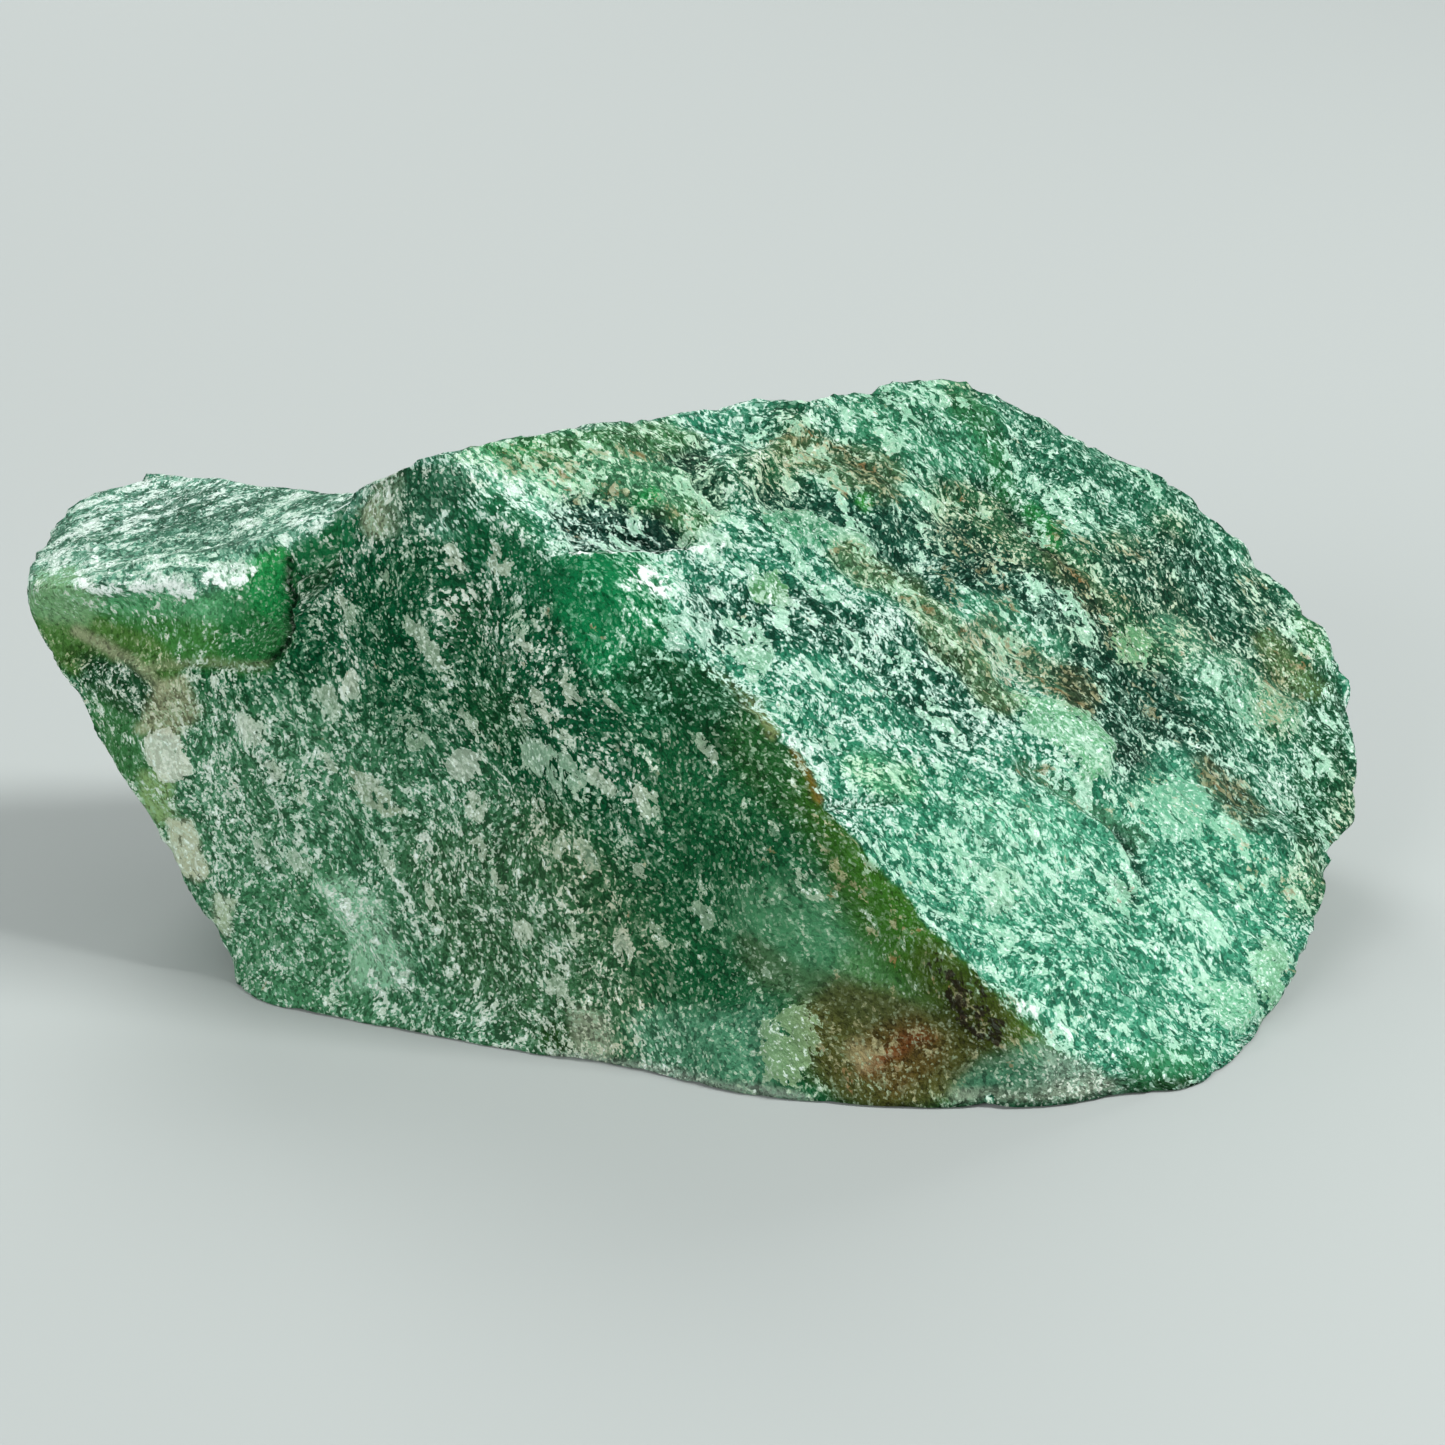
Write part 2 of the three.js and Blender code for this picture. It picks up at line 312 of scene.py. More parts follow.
# Closed outlines on the lump, as they stand in the frame.
OUTLINES = {
    "slope": [
        (655, 648), (700, 668), (740, 690), (775, 725), (800, 745), (815, 780), (825, 805), (850, 830),
        (870, 860), (905, 890), (935, 925), (975, 965), (1000, 995), (1035, 1030), (1056, 1050),
        (1100, 1068), (1140, 1092), (1400, 1092), (1400, 360), (380, 360), (395, 462), (455, 464),
        (520, 492), (545, 560), (600, 553), (640, 560), (665, 625)],
    "ledge top": [
        (18, 600), (31, 560), (60, 515), (100, 485), (200, 466), (300, 482), (366, 488), (350, 512),
        (330, 528), (302, 544), (286, 552), (258, 562), (238, 584), (210, 597), (180, 602), (140, 604),
        (90, 603), (60, 586), (40, 572)],
    "ledge wall": [
        (33, 600), (60, 582), (90, 600), (180, 600), (235, 588), (258, 562), (286, 552), (290, 580),
        (286, 600), (289, 620), (282, 645), (262, 662), (232, 658), (205, 664), (178, 652), (150, 642),
        (120, 630), (95, 634), (52, 646)],
    "ledge speckle": [(140, 494), (220, 492), (262, 510), (240, 540), (170, 544), (136, 520)],
    "ledge flank": [
        (40, 618), (95, 622), (150, 640), (180, 668), (165, 690), (130, 662), (96, 650), (76, 674),
        (52, 650)],
    "ledge pale corner": [(30, 598), (44, 572), (72, 572), (96, 598), (84, 622), (50, 616)],
    "wall glow": [(252, 562), (284, 556), (286, 596), (276, 612), (258, 600)],
    "wall right": [(225, 590), (284, 570), (284, 640), (262, 658), (225, 645)],
    "wall low": [
        (60, 616), (150, 624), (230, 634), (281, 640), (262, 664), (205, 662), (150, 642), (95, 634)],
    "wall top": [
        (70, 596), (140, 600), (205, 596), (250, 572), (262, 588), (225, 612), (150, 616), (80, 610)],
    "shoulder emerald": [(300, 545), (330, 530), (346, 518), (346, 545), (325, 560), (302, 565)],
    "shoulder flank": [(362, 512), (392, 474), (402, 478), (392, 530), (372, 535)],
    "shoulder grey": [(392, 475), (455, 468), (480, 490), (440, 520), (395, 530)],
    "shoulder glass": [
        (466, 508), (516, 498), (540, 545), (556, 580), (530, 588), (500, 566), (474, 548)],
    "front plate": [(524, 742), (548, 750), (572, 764), (577, 782), (566, 786), (545, 776), (528, 760)],
    "front long flake": [
        (353, 770), (366, 776), (380, 790), (398, 810), (388, 814), (370, 802), (358, 788)],
    "front flake": [(447, 760), (460, 750), (473, 757), (470, 777), (452, 773)],
    "front upper flake": [(408, 622), (418, 628), (433, 648), (441, 668), (432, 664), (420, 650)],
    "deep front": [
        (300, 570), (400, 530), (480, 545), (545, 575), (580, 650), (640, 720), (680, 800), (600, 800),
        (440, 740), (330, 680)],
    "pale front": [(190, 760), (300, 730), (420, 790), (520, 880), (560, 980), (540, 1050), (250, 1000)],
    "front tan": [(430, 860), (540, 850), (620, 900), (650, 970), (630, 1040), (560, 1040), (470, 960)],
    "left glass": [(85, 690), (110, 690), (150, 735), (150, 790), (165, 820), (130, 790), (100, 740)],
    "left dark": [(85, 660), (130, 668), (172, 700), (165, 715), (120, 705), (88, 690)],
    "left beige": [(160, 690), (185, 680), (196, 715), (180, 732), (140, 728)],
    "left tan": [(150, 738), (172, 732), (186, 750), (188, 772), (165, 778), (152, 762)],
    "left olive": [(142, 775), (168, 778), (170, 815), (160, 822), (146, 800)],
    "left low tan": [(170, 822), (188, 824), (206, 870), (196, 880), (176, 850)],
    "left foot tan": [(214, 896), (230, 900), (226, 935), (218, 925)],
    "smooth foot": [(240, 900), (330, 880), (360, 990), (260, 995)],
    "foot plate": [
        (322, 880), (350, 880), (383, 904), (397, 940), (412, 966), (400, 985), (355, 990), (350, 940)],
    "bevel": [
        (546, 566), (600, 553), (645, 562), (660, 600), (670, 625), (655, 648), (700, 668), (735, 700),
        (700, 730), (650, 720), (610, 690), (580, 655), (560, 612)],
    "bevel bright": [
        (550, 570), (600, 557), (640, 564), (644, 600), (655, 636), (628, 662), (600, 668), (578, 642),
        (560, 606)],
    "bevel dark": [(640, 655), (700, 670), (738, 700), (720, 730), (670, 715), (635, 690)],
    "pocket": [
        (553, 506), (575, 488), (612, 496), (655, 510), (690, 530), (688, 545), (655, 550), (600, 552),
        (572, 546)],
    "pocket pale": [(566, 520), (592, 508), (596, 535), (576, 540)],
    "pocket corner": [(690, 534), (712, 528), (728, 542), (700, 549)],
    "hollow": [
        (455, 455), (500, 440), (560, 430), (665, 420), (700, 440), (718, 478), (722, 505), (690, 540),
        (655, 510), (600, 492), (540, 492), (500, 470)],
    "hollow mint": [(575, 462), (640, 452), (690, 462), (680, 490), (620, 492)],
    "hollow right dark": [
        (668, 452), (700, 438), (716, 470), (726, 490), (718, 508), (704, 500), (696, 465)],
    "quiet front": [
        (690, 760), (760, 740), (810, 790), (905, 900), (1000, 1025), (880, 1090), (740, 1075),
        (690, 990), (672, 880)],
    "quiet olive": [(700, 690), (740, 700), (785, 745), (822, 790), (836, 820), (800, 815), (750, 770)],
    "quiet haze": [(760, 930), (850, 900), (920, 950), (930, 1000), (860, 1005), (800, 975)],
    "quiet low haze": [
        (852, 962), (900, 945), (935, 958), (948, 1000), (946, 1034), (914, 1020), (880, 998)],
    "ridge olive": [
        (812, 790), (850, 832), (905, 893), (940, 928), (978, 968), (1004, 996), (1040, 1036),
        (1058, 1052), (1010, 1050), (962, 1020), (925, 985), (880, 940), (848, 900), (824, 850)],
    "ridge bright": [
        (860, 862), (905, 900), (958, 950), (1000, 1000), (976, 1004), (926, 962), (880, 914)],
    "ridge low olive": [(960, 990), (1000, 995), (1050, 1050), (1010, 1050), (965, 1025)],
    "foot brown": [
        (812, 1008), (838, 992), (884, 1002), (932, 1028), (966, 1052), (958, 1082), (926, 1098),
        (880, 1102), (850, 1086), (826, 1060)],
    "foot rust": [(872, 1036), (905, 1026), (934, 1044), (924, 1066), (896, 1084), (872, 1066)],
    "foot teal": [
        (985, 1064), (1030, 1050), (1056, 1050), (1068, 1078), (1010, 1094), (962, 1096), (966, 1084)],
    "foot grey": [(1050, 1050), (1110, 1062), (1120, 1085), (1050, 1090)],
    "foot flake": [
        (762, 1030), (782, 1012), (802, 1006), (813, 1022), (817, 1050), (806, 1078), (788, 1086),
        (768, 1070)],
    "foot haze": [(640, 1030), (760, 1020), (770, 1070), (660, 1060)],
    "foot dark": [(545, 1025), (572, 1030), (576, 1056), (550, 1058)],
    "foot beige": [(576, 1010), (600, 1020), (610, 1050), (584, 1058)],
    "toe green": [(1130, 1062), (1180, 1052), (1205, 1068), (1190, 1086), (1140, 1084)],
    "toe under": [(1120, 1086), (1165, 1080), (1200, 1078), (1200, 1096), (1150, 1096)],
    "mint field": [
        (950, 800), (1050, 795), (1110, 820), (1170, 770), (1250, 850), (1280, 900), (1260, 1010),
        (1190, 1060), (1110, 1062), (1020, 1000), (930, 920), (900, 860)],
    "mint heart": [(965, 812), (1050, 812), (1070, 850), (1030, 900), (985, 905), (970, 860)],
    "mint left": [
        (690, 655), (760, 690), (820, 740), (900, 740), (960, 800), (900, 860), (850, 820), (800, 740)],
    "far slope": [
        (870, 370), (1010, 370), (1400, 540), (1400, 870), (1300, 880), (1240, 830), (1150, 760),
        (1080, 660), (980, 570), (900, 525), (770, 505), (760, 440)],
    "teal top": [(880, 390), (950, 385), (990, 430), (960, 470), (890, 440), (850, 420)],
    "dark upper": [
        (752, 490), (830, 500), (900, 512), (960, 530), (1000, 560), (940, 590), (890, 565), (850, 525),
        (770, 512)],
    "dark lace": [
        (700, 600), (800, 600), (880, 612), (940, 645), (975, 690), (1010, 715), (960, 740), (905, 690),
        (840, 645), (780, 640), (715, 640)],
    "dark middle": [(975, 565), (1020, 570), (1090, 600), (1110, 650), (1060, 660), (1000, 610)],
    "dark right": [
        (1060, 650), (1110, 655), (1175, 695), (1205, 745), (1240, 800), (1190, 795), (1130, 775),
        (1112, 735), (1080, 705)],
    "dark far": [
        (1110, 560), (1180, 550), (1270, 600), (1300, 700), (1240, 660), (1190, 640), (1140, 610)],
    "dark rim": [
        (1300, 660), (1335, 665), (1345, 760), (1350, 820), (1310, 850), (1290, 800), (1310, 740)],
    "flake mint": [(764, 514), (808, 512), (838, 528), (836, 544), (800, 542), (780, 530)],
    "flake white": [(842, 528), (862, 534), (880, 550), (862, 550), (848, 540)],
    "flake olive": [(752, 582), (772, 574), (790, 590), (786, 600), (760, 598)],
    "flake knock": [(664, 625), (690, 616), (710, 626), (702, 640), (692, 652), (668, 646)],
    "flake tooth": [(732, 648), (765, 645), (770, 655), (755, 677), (745, 668)],
    "flake rimmed": [
        (1018, 694), (1050, 700), (1080, 712), (1100, 730), (1112, 746), (1106, 772), (1088, 773),
        (1074, 755), (1054, 738), (1030, 722)],
    "flake small": [(1114, 640), (1134, 630), (1150, 640), (1143, 655), (1122, 653)],
    "flake far": [(1242, 700), (1262, 690), (1285, 712), (1290, 728), (1256, 722)],
    "flake low": [(1145, 790), (1175, 778), (1206, 790), (1202, 830), (1172, 838), (1150, 815)],
    "flake round": [(986, 880), (1000, 866), (1012, 880), (1010, 900), (996, 908), (986, 898)],
    "flake edge": [(1252, 956), (1268, 942), (1281, 955), (1283, 985), (1268, 1005), (1258, 990)],
    "flake corner": [(1200, 992), (1216, 982), (1240, 994), (1256, 1014), (1240, 1032), (1214, 1026)],
}

# Lines on the lump, as they stand in the frame.
LINES = {
    "lip": [
        (34, 592), (44, 570), (70, 560), (110, 566), (150, 580), (190, 584), (235, 574), (275, 552),
        (330, 520)],
    # the ledge's streaks: partly its layering, partly a painted highlight on its glossy top
    "ledge streak far": [(128, 484), (165, 487), (202, 481)],
    "ledge streak left": [(92, 522), (118, 520), (138, 526)],
    "ledge streak front": [(42, 556), (100, 566), (160, 572)],
    "ledge streak middle": [(140, 556), (190, 562), (240, 562), (268, 552)],
    "ledge streak right": [(246, 524), (282, 518), (330, 522)],
    "lip white": [(78, 584), (100, 592), (140, 590), (188, 590)],
    "lip white right": [(205, 578), (240, 580), (254, 570)],
    "ledge rim": [(40, 562), (75, 552), (120, 562)],
    "wall crack": [(291, 560), (288, 578), (293, 594), (287, 612), (291, 628), (284, 646), (270, 660)],
    "wall foot tan": [(76, 632), (104, 644), (132, 662), (164, 690)],
    "wall foot": [(150, 668), (205, 662), (262, 664)],
    "crack tan": [(300, 600), (318, 618), (306, 650)],
    "crest bright": [(448, 458), (470, 450), (500, 446), (540, 440)],
    "crest white": [(398, 470), (420, 460), (452, 458)],
    "shoulder white": [(462, 466), (500, 474), (530, 486), (560, 492)],
    "shoulder veil": [(525, 492), (480, 505), (436, 528)],
    "shoulder edge": [(505, 516), (528, 545), (560, 566)],
    "front streak": [(236, 712), (268, 748), (285, 790)],
    "front seam": [(238, 714), (268, 770), (300, 840), (340, 905), (380, 950), (410, 985)],
    "plate edge": [(384, 904), (397, 940), (411, 966)],
    "knock": [(640, 584), (656, 590)],
    "pocket lip": [(572, 556), (600, 552), (650, 551), (700, 549), (722, 546)],
    "slope streak": [(690, 560), (715, 580), (745, 600)],
    "hollow brown": [(510, 450), (540, 456), (580, 464)],
    "hollow brown top": [(596, 446), (640, 450), (665, 452)],
    "hollow fibres": [(560, 482), (610, 486), (660, 500), (700, 525)],
    "hollow green": [(640, 498), (656, 490)],
    "hollow crest": [(470, 448), (560, 436), (650, 426), (700, 436)],
    "rim veil": [(720, 468), (742, 494), (760, 462), (795, 438)],
    "ridge tan": [(700, 672), (728, 686), (758, 708), (774, 728)],
    "ridge rust": [(796, 748), (806, 770), (820, 800)],
    "ridge white": [(790, 738), (806, 744), (828, 790), (862, 842), (905, 882), (940, 922)],
    "ridge low white": [(940, 924), (985, 968), (1020, 1005), (1060, 1030), (1100, 1048), (1132, 1066)],
    "stain left": [(942, 968), (950, 996), (966, 1020), (982, 1030)],
    "stain right": [(962, 1014), (980, 990), (992, 992)],
    "foot smear": [(756, 958), (800, 980), (850, 1000), (900, 1020)],
    "foot rust seam": [(868, 1070), (878, 1058), (896, 1052), (904, 1040), (922, 1036)],
    "foot spot": [(856, 1048), (868, 1062)],
    "foot strip": [(560, 1056), (650, 1070), (720, 1086), (800, 1096)],
    "foot far strip": [(960, 1098), (1040, 1094), (1110, 1084)],
    "slope crack": [(828, 806), (860, 804), (900, 803)],
    "band olive": [(850, 552), (905, 590), (950, 636), (990, 680), (1010, 700)],
    "band mint": [(975, 606), (1010, 624), (1046, 650)],
    "band white": [(900, 615), (940, 635), (985, 660)],
    "band far white": [(1168, 634), (1200, 655), (1240, 682), (1290, 716)],
    "band far low white": [(1206, 752), (1250, 775), (1292, 800)],
    "band tan": [(1050, 556), (1078, 578), (1096, 602)],
    "band tan low": [(1150, 672), (1184, 704), (1206, 742)],
    "band shadow": [(985, 488), (1020, 520), (1060, 560), (1098, 606), (1120, 640), (1180, 690)],
    "brown top": [(800, 450), (850, 464), (885, 478)],
    "brown top rust": [(850, 466), (880, 480)],
    "brown far top": [(1056, 530), (1096, 545)],
    "brown middle": [(975, 625), (1015, 656), (1062, 682), (1085, 700)],
    "brown knot": [(948, 572), (956, 596)],
    "brown dark": [(985, 572), (1008, 608)],
    "brown far": [(1138, 690), (1156, 712)],
    "brown low": [(1202, 765), (1235, 800), (1250, 812)],
    "brown lowest": [(1232, 830), (1250, 872)],
    "brown plate": [(1022, 762), (1062, 790), (1110, 812), (1142, 842)],
    "brown glint": [(1276, 674), (1304, 700)],
    "green top": [(955, 400), (975, 420), (990, 452), (1006, 496)],
    "green step": [(1030, 510), (1056, 536)],
    "green spot": [(862, 498), (868, 504)],
    "green glow": [(866, 768), (900, 782)],
    "olive far": [(1262, 640), (1290, 680), (1312, 690)],
    "green far": [(1300, 625), (1332, 655)],
    "cleft": [(1122, 826), (1140, 856), (1152, 884)],
    "cleft low": [(1120, 880), (1140, 906)],
    "step upper": [(930, 484), (972, 492), (1000, 520)],
    "step top": [(690, 434), (716, 470), (724, 505)],
    "pale spots": [(1148, 950), (1195, 970)],
    "pale spots upper": [(1138, 912), (1160, 944)],
    "toe edge": [(1056, 1052), (1100, 1068), (1128, 1070), (1160, 1050), (1200, 1040), (1256, 1012)],
    "toe crack": [(1196, 1040), (1232, 1044), (1256, 1016)],
}

# Single flakes a few millimetres long, by the place of each one's middle.
FLAKES_FRONT = [
    (384, 575), (348, 684), (328, 702), (518, 708), (555, 724), (570, 690), (560, 848), (590, 856),
    (474, 808), (540, 811), (534, 700), (251, 727), (276, 768), (654, 934), (617, 948), (575, 934),
    (480, 850), (300, 860), (520, 640), (700, 912), (806, 888), (838, 902), (452, 560), (500, 560),
    (768, 970), (455, 612), (345, 610), (610, 700), (705, 745), (410, 730), (300, 790), (430, 900),
    (520, 930), (330, 760), (385, 860), (645, 800), (262, 850), (470, 720), (600, 780), (640, 870),
    (500, 880), (560, 990),
]
FLAKES_MINT = [
    (1030, 830), (1258, 866), (1135, 900), (1000, 940), (905, 660), (1118, 896), (1096, 915),
    (1060, 1000), (1225, 1005), (785, 612), (1195, 815), (1075, 620), (1290, 640), (890, 435), (930, 396),
    (1060, 500), (1070, 515), (800, 440), (870, 860), (1240, 890), (1190, 905),
]

# Marks whose names begin so keep to the slope, or keep off it.
ON_SLOPE = (
    "mint", "dark", "band", "far", "teal", "brown", "green", "olive far", "cleft", "step", "pale spots")
OFF_SLOPE = (
    "deep", "pale front", "front", "quiet", "smooth", "foot", "left", "ridge olive", "ridge bright", "stain")

# ---------------------------------------------------------------- the lump

CUTS = 3
SOFT_ROUNDS = 7
RIDGE_ROUNDS = 2
NORMAL_ROUNDS = 3
# how far smoothing sinks a place in mm: where it starts to count as a ridge, and where it fully does
RIDGE_FROM_MM = 0.10
RIDGE_FULL_MM = 0.42
# how much of its sharpness a place keeps, and how much more on a ridge
SHARPNESS = 0.3
RIDGE_SHARPNESS = 0.55

stone = fine_copy(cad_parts["aventurine"], "aventurine_lump", CUTS)
mesh = stone.data
edges = edges_of(mesh)
points = points_of(mesh)
soft = averaged(points, edges, SOFT_ROUNDS)
pull = ((soft - points) * normals_of(mesh)).sum(axis=1)
ridge = averaged(rise(-pull, RIDGE_FROM_MM, RIDGE_FULL_MM), edges, RIDGE_ROUNDS)
points = soft + (points - soft) * (SHARPNESS + RIDGE_SHARPNESS * ridge)[:, None]
points = points + fitted_to_outline(points, normals_of(mesh), edges)
place_points(mesh, points)
normals = averaged(normals_of(mesh), edges, NORMAL_ROUNDS)
normals /= np.linalg.norm(normals, axis=1)[:, None]

places, seen = seen_from_camera(points, normals)
unseen = 1.0 - seen

# ---------------------------------------------------------------- marks on the lump

# how ragged a mark's edge is, in pixels: a share of its reach, within these limits
EDGE_RAGGED = 0.28
LEAST_RAGGED = 4.0
MOST_RAGGED = 16.0
SLOPE_RAGGED = 4.0
SLOPE_FADE = 5
# edges wander by fine noise and so much of a broader one, across the frame and down it
WANDER_SEEDS = (11, 12)
BROAD_WANDER = 0.8
# a single flake is a short stroke about its middle, of three widths in turn
FLAKE_RAGGED = 5.0
FLAKE_START = (-4, -7)
FLAKE_END = (5, 9)
FLAKE_WIDTHS = (0.7, 1.0, 1.3)
# a scattered flake's length, width and thickness as shares of its size
SCATTERED_SHAPE = (1.5, 0.9, 0.7)
MOSTLY_SEEN = 0.5

wander = np.stack([
    swell(points, size=5, octaves=3, seed=seed) + BROAD_WANDER * swell(points, size=14, octaves=2, seed=seed)
    for seed in WANDER_SEEDS], axis=1)
slope = area(places + SLOPE_RAGGED * wander, OUTLINES["slope"], SLOPE_FADE) * seen


def mark(name, reach):
    """A named outline, fading over reach pixels, or a named line that is reach pixels wide."""
    near = places + min(max(EDGE_RAGGED * reach, LEAST_RAGGED), MOST_RAGGED) * wander
    if name in OUTLINES:
        amount = area(near, OUTLINES[name], reach) * seen
    else:
        amount = stroke(near, LINES[name], reach) * seen
    if name.startswith(ON_SLOPE):
        return amount * slope
    if name.startswith(OFF_SLOPE):
        return amount * (1.0 - slope)
    return amount


def summed(table):
    """A table's marks added up: rows of name, reach in pixels, amount."""
    return sum(amount * mark(name, reach) for name, reach, amount in table)


def strongest(table):
    """The strongest of a table's marks at each vertex: rows of name, reach in pixels, amount."""
    return np.max([amount * mark(name, reach) for name, reach, amount in table], axis=0)


def flakes(centres, width):
    """Single flakes down the stretch of the stone, on the side that faces the camera."""
    near = places + FLAKE_RAGGED * wander
    return np.max([
        stroke(
            near, [(x + FLAKE_START[0], y + FLAKE_START[1]), (x + FLAKE_END[0], y + FLAKE_END[1])],
            width * FLAKE_WIDTHS[turn % len(FLAKE_WIDTHS)])
        for turn, (x, y) in enumerate(centres)], axis=0) * seen


def scattered(count, size, seed):
    """Flakes of that size in mm at random places on the sides that the camera doesn't see."""
    chance = np.random.default_rng(seed)
    best = np.zeros(len(points))
    for centre in chance.choice(len(points), count, replace=False):
        if seen[centre] > MOSTLY_SEEN:
            continue
        gap = in_layers(points - points[centre], *SCATTERED_SHAPE)
        best = np.maximum(best, 1.0 - np.linalg.norm(gap, axis=1) / size)
    return np.clip(best, 0.0, 1.0)


def turned_towards(azimuth, tilt, near, far):
    """1 where the lump faces within near degrees of a direction, 0 beyond far degrees."""
    turn = math.radians(azimuth)
    lift = math.radians(tilt)
    aim = np.array((math.cos(turn) * math.cos(lift), math.sin(turn) * math.cos(lift), math.sin(lift)))
    angle = np.degrees(np.arccos(np.clip(normals @ aim, -1.0, 1.0)))
    return 1.0 - rise(angle, near, far)


# How glassy each place is, smooth and with few flakes: name, reach in pixels, amount.
CLEAR = [
    ("ledge wall", 8, 1.0), ("ledge flank", 8, 0.7), ("ledge pale corner", 8, 1.0), ("bevel bright", 10, 0.8),
    ("bevel", 6, 0.4), ("shoulder emerald", 8, 1.0), ("shoulder glass", 16, 0.5), ("left glass", 10, 0.7),
    ("quiet haze", 30, 0.6), ("ridge olive", 10, 0.3), ("toe green", 10, 0.7), ("foot plate", 6, 0.3),
    ("foot flake", 4, 0.5), ("quiet front", 60, 0.45),
]
# and how glassy the clear drift makes the sides that the camera doesn't see
UNSEEN_CLEAR = 0.8

drift = swell(points, size=22, octaves=2, seed=13)
small_drift = swell(points, size=9, octaves=2, seed=14)
warm_drift = swell(points, size=15, octaves=2, seed=16)
clear_drift = swell(points, size=18, octaves=2, seed=17)
banding = drawn(points, sizes=(34, 20, 6), octaves=3, seed=18)
fabric = drawn(points, sizes=(20, 9, 2.2), octaves=3, seed=19)
slivers = drawn(points, sizes=(8, 4.5, 2.4), octaves=2, seed=22)

back_of_ledge = turned_towards(azimuth=206, tilt=73, near=22, far=36)
back_of_ledge *= rise(-points[:, 0], low=30, high=38) * unseen
ledge_top = np.maximum(mark("ledge top", 5), back_of_ledge) * (1.0 - mark("ledge wall", 3))
clear = summed(CLEAR) + UNSEEN_CLEAR * rise(clear_drift, low=0.2, high=0.45) * unseen * (1.0 - ledge_top)
clear = np.clip(clear, 0.0, 1.0)

# ---------------------------------------------------------------- the broken surface

# How far each named place stands proud, in millimetres: name, reach in pixels, height.
RELIEF = [
    ("pocket", 6, -1.3), ("pocket lip", 10, 0.5), ("hollow", 24, -0.5), ("hollow right dark", 6, -0.8),
    ("rim veil", 16, 0.6), ("step top", 10, 0.4), ("shoulder edge", 14, 0.4), ("shoulder white", 14, 0.3),
    ("wall crack", 9, -0.9), ("wall foot", 9, -0.4), ("wall foot tan", 10, 0.3), ("left tan", 4, 0.4),
    ("foot plate", 3, 0.4), ("plate edge", 7, 0.3), ("foot flake", 3, 0.6), ("slope crack", 8, -0.7),
    ("flake mint", 4, 0.4), ("flake white", 4, 0.4), ("flake tooth", 3, 0.6), ("flake knock", 4, 0.4),
    ("flake rimmed", 3, 0.5), ("flake low", 6, 0.4), ("flake round", 4, 0.4), ("flake edge", 4, 0.5),
    ("flake corner", 4, 0.6), ("flake far", 5, 0.3), ("band shadow", 14, -0.6), ("band tan", 12, 0.4),
    ("band tan low", 12, 0.4), ("band white", 24, 0.4), ("band far white", 22, 0.5),
    ("band far low white", 18, 0.4), ("band mint", 26, 0.3), ("band olive", 20, 0.3),
    ("step upper", 9, 0.6), ("brown middle", 16, -0.3), ("brown plate", 18, -0.5),
    ("brown low", 20, -0.4), ("cleft", 9, -0.8), ("cleft low", 8, -0.7), ("dark lace", 24, -0.4),
    ("dark right", 16, -0.4), ("dark upper", 16, -0.3), ("mint heart", 10, 0.4), ("toe edge", 12, 0.4),
    ("front seam", 10, 0.5), ("toe crack", 7, -0.6), ("toe under", 6, -0.8), ("pale spots", 14, 0.4),
    ("pale spots upper", 12, 0.3),
]

# how far the layers bend, how thick slabs and splinters are, and how uneven as shares of that
LAYER_BEND_MM = 1.6
BEND_SEEDS = (1, 2, 3)
SLAB_THICK_MM = 2.9
SLAB_UNEVEN = 0.5
SPLINTER_THICK_MM = 1.15
SPLINTER_UNEVEN = 0.8
PLATE_STEPS = 1.7
# a slab stands this tall between the patches, and that much more in them
SLAB_THIN = 0.3
SLAB_FULL = 0.7

# how tall each form stands in mm, on every side
SLAB_MM = 1.1
PLATE_MM = 0.5
LUMP_MM = 0.5
SPLINTER_MM = 0.4
GRAIN_MM = 0.26
CHIP_MM = 0.85
# and how much taller on the sides that the camera doesn't see
BACK_SLAB_MM = 0.5
BACK_PLATE_MM = 0.6
BACK_LUMP_MM = 0.3

# how much relief glassy quartz loses, the ledge's top as a share of that, and what its chips keep
CALM_DROP = 0.8
CALM_LEDGE = 0.5
CALM_CHIP = 0.3
# how much of the fine relief, and of all relief, the rim loses; a rim is half seen, and widened
RIM_FINE_DROP = 0.85
RIM_DROP = 0.6
RIM_SHARE = 4.0
RIM_WIDEN = 3.0
RIM_ROUNDS = 5
# what is left of the relief where the stone meets the table
FOOT_RELIEF = 0.1

cut = rise(1.0 - np.abs(normals @ np.array(LAYER_NORMAL)), low=0.05, high=0.35)
calm = 1.0 - CALM_DROP * np.clip(clear + CALM_LEDGE * ledge_top, 0.0, 1.0)
bend = np.stack([swell(points, size=16, octaves=2, seed=seed) for seed in BEND_SEEDS], axis=1)
wavy = points + LAYER_BEND_MM * bend
layer = wavy @ np.array(LAYER_NORMAL)
patch = rise(swell(points, size=12, octaves=2, seed=4), low=-0.4, high=0.5)
slabs = steps(layer / SLAB_THICK_MM + SLAB_UNEVEN * swell(points, size=7, octaves=2, seed=5))
slabs *= cut * (SLAB_THIN + SLAB_FULL * patch)
splinters = steps(layer / SPLINTER_THICK_MM + SPLINTER_UNEVEN * swell(points, size=4, octaves=2, seed=15))
splinters *= cut
plates = steps(PLATE_STEPS * drawn(points, sizes=(20, 11, 9), octaves=2, seed=6)) * (1.0 - cut)
lumps = swell(points, size=6.5, octaves=3, seed=7)
grain = drawn(wavy, sizes=(2.6, 1.6, 1.1), octaves=3, seed=8)
chips = rise(swell(points, size=3.6, octaves=2, seed=9), low=0.02, high=0.5) * rise(ridge, low=0.25, high=0.7)
rim = np.clip(RIM_WIDEN * averaged(RIM_SHARE * seen * unseen, edges, RIM_ROUNDS), 0.0, 1.0)

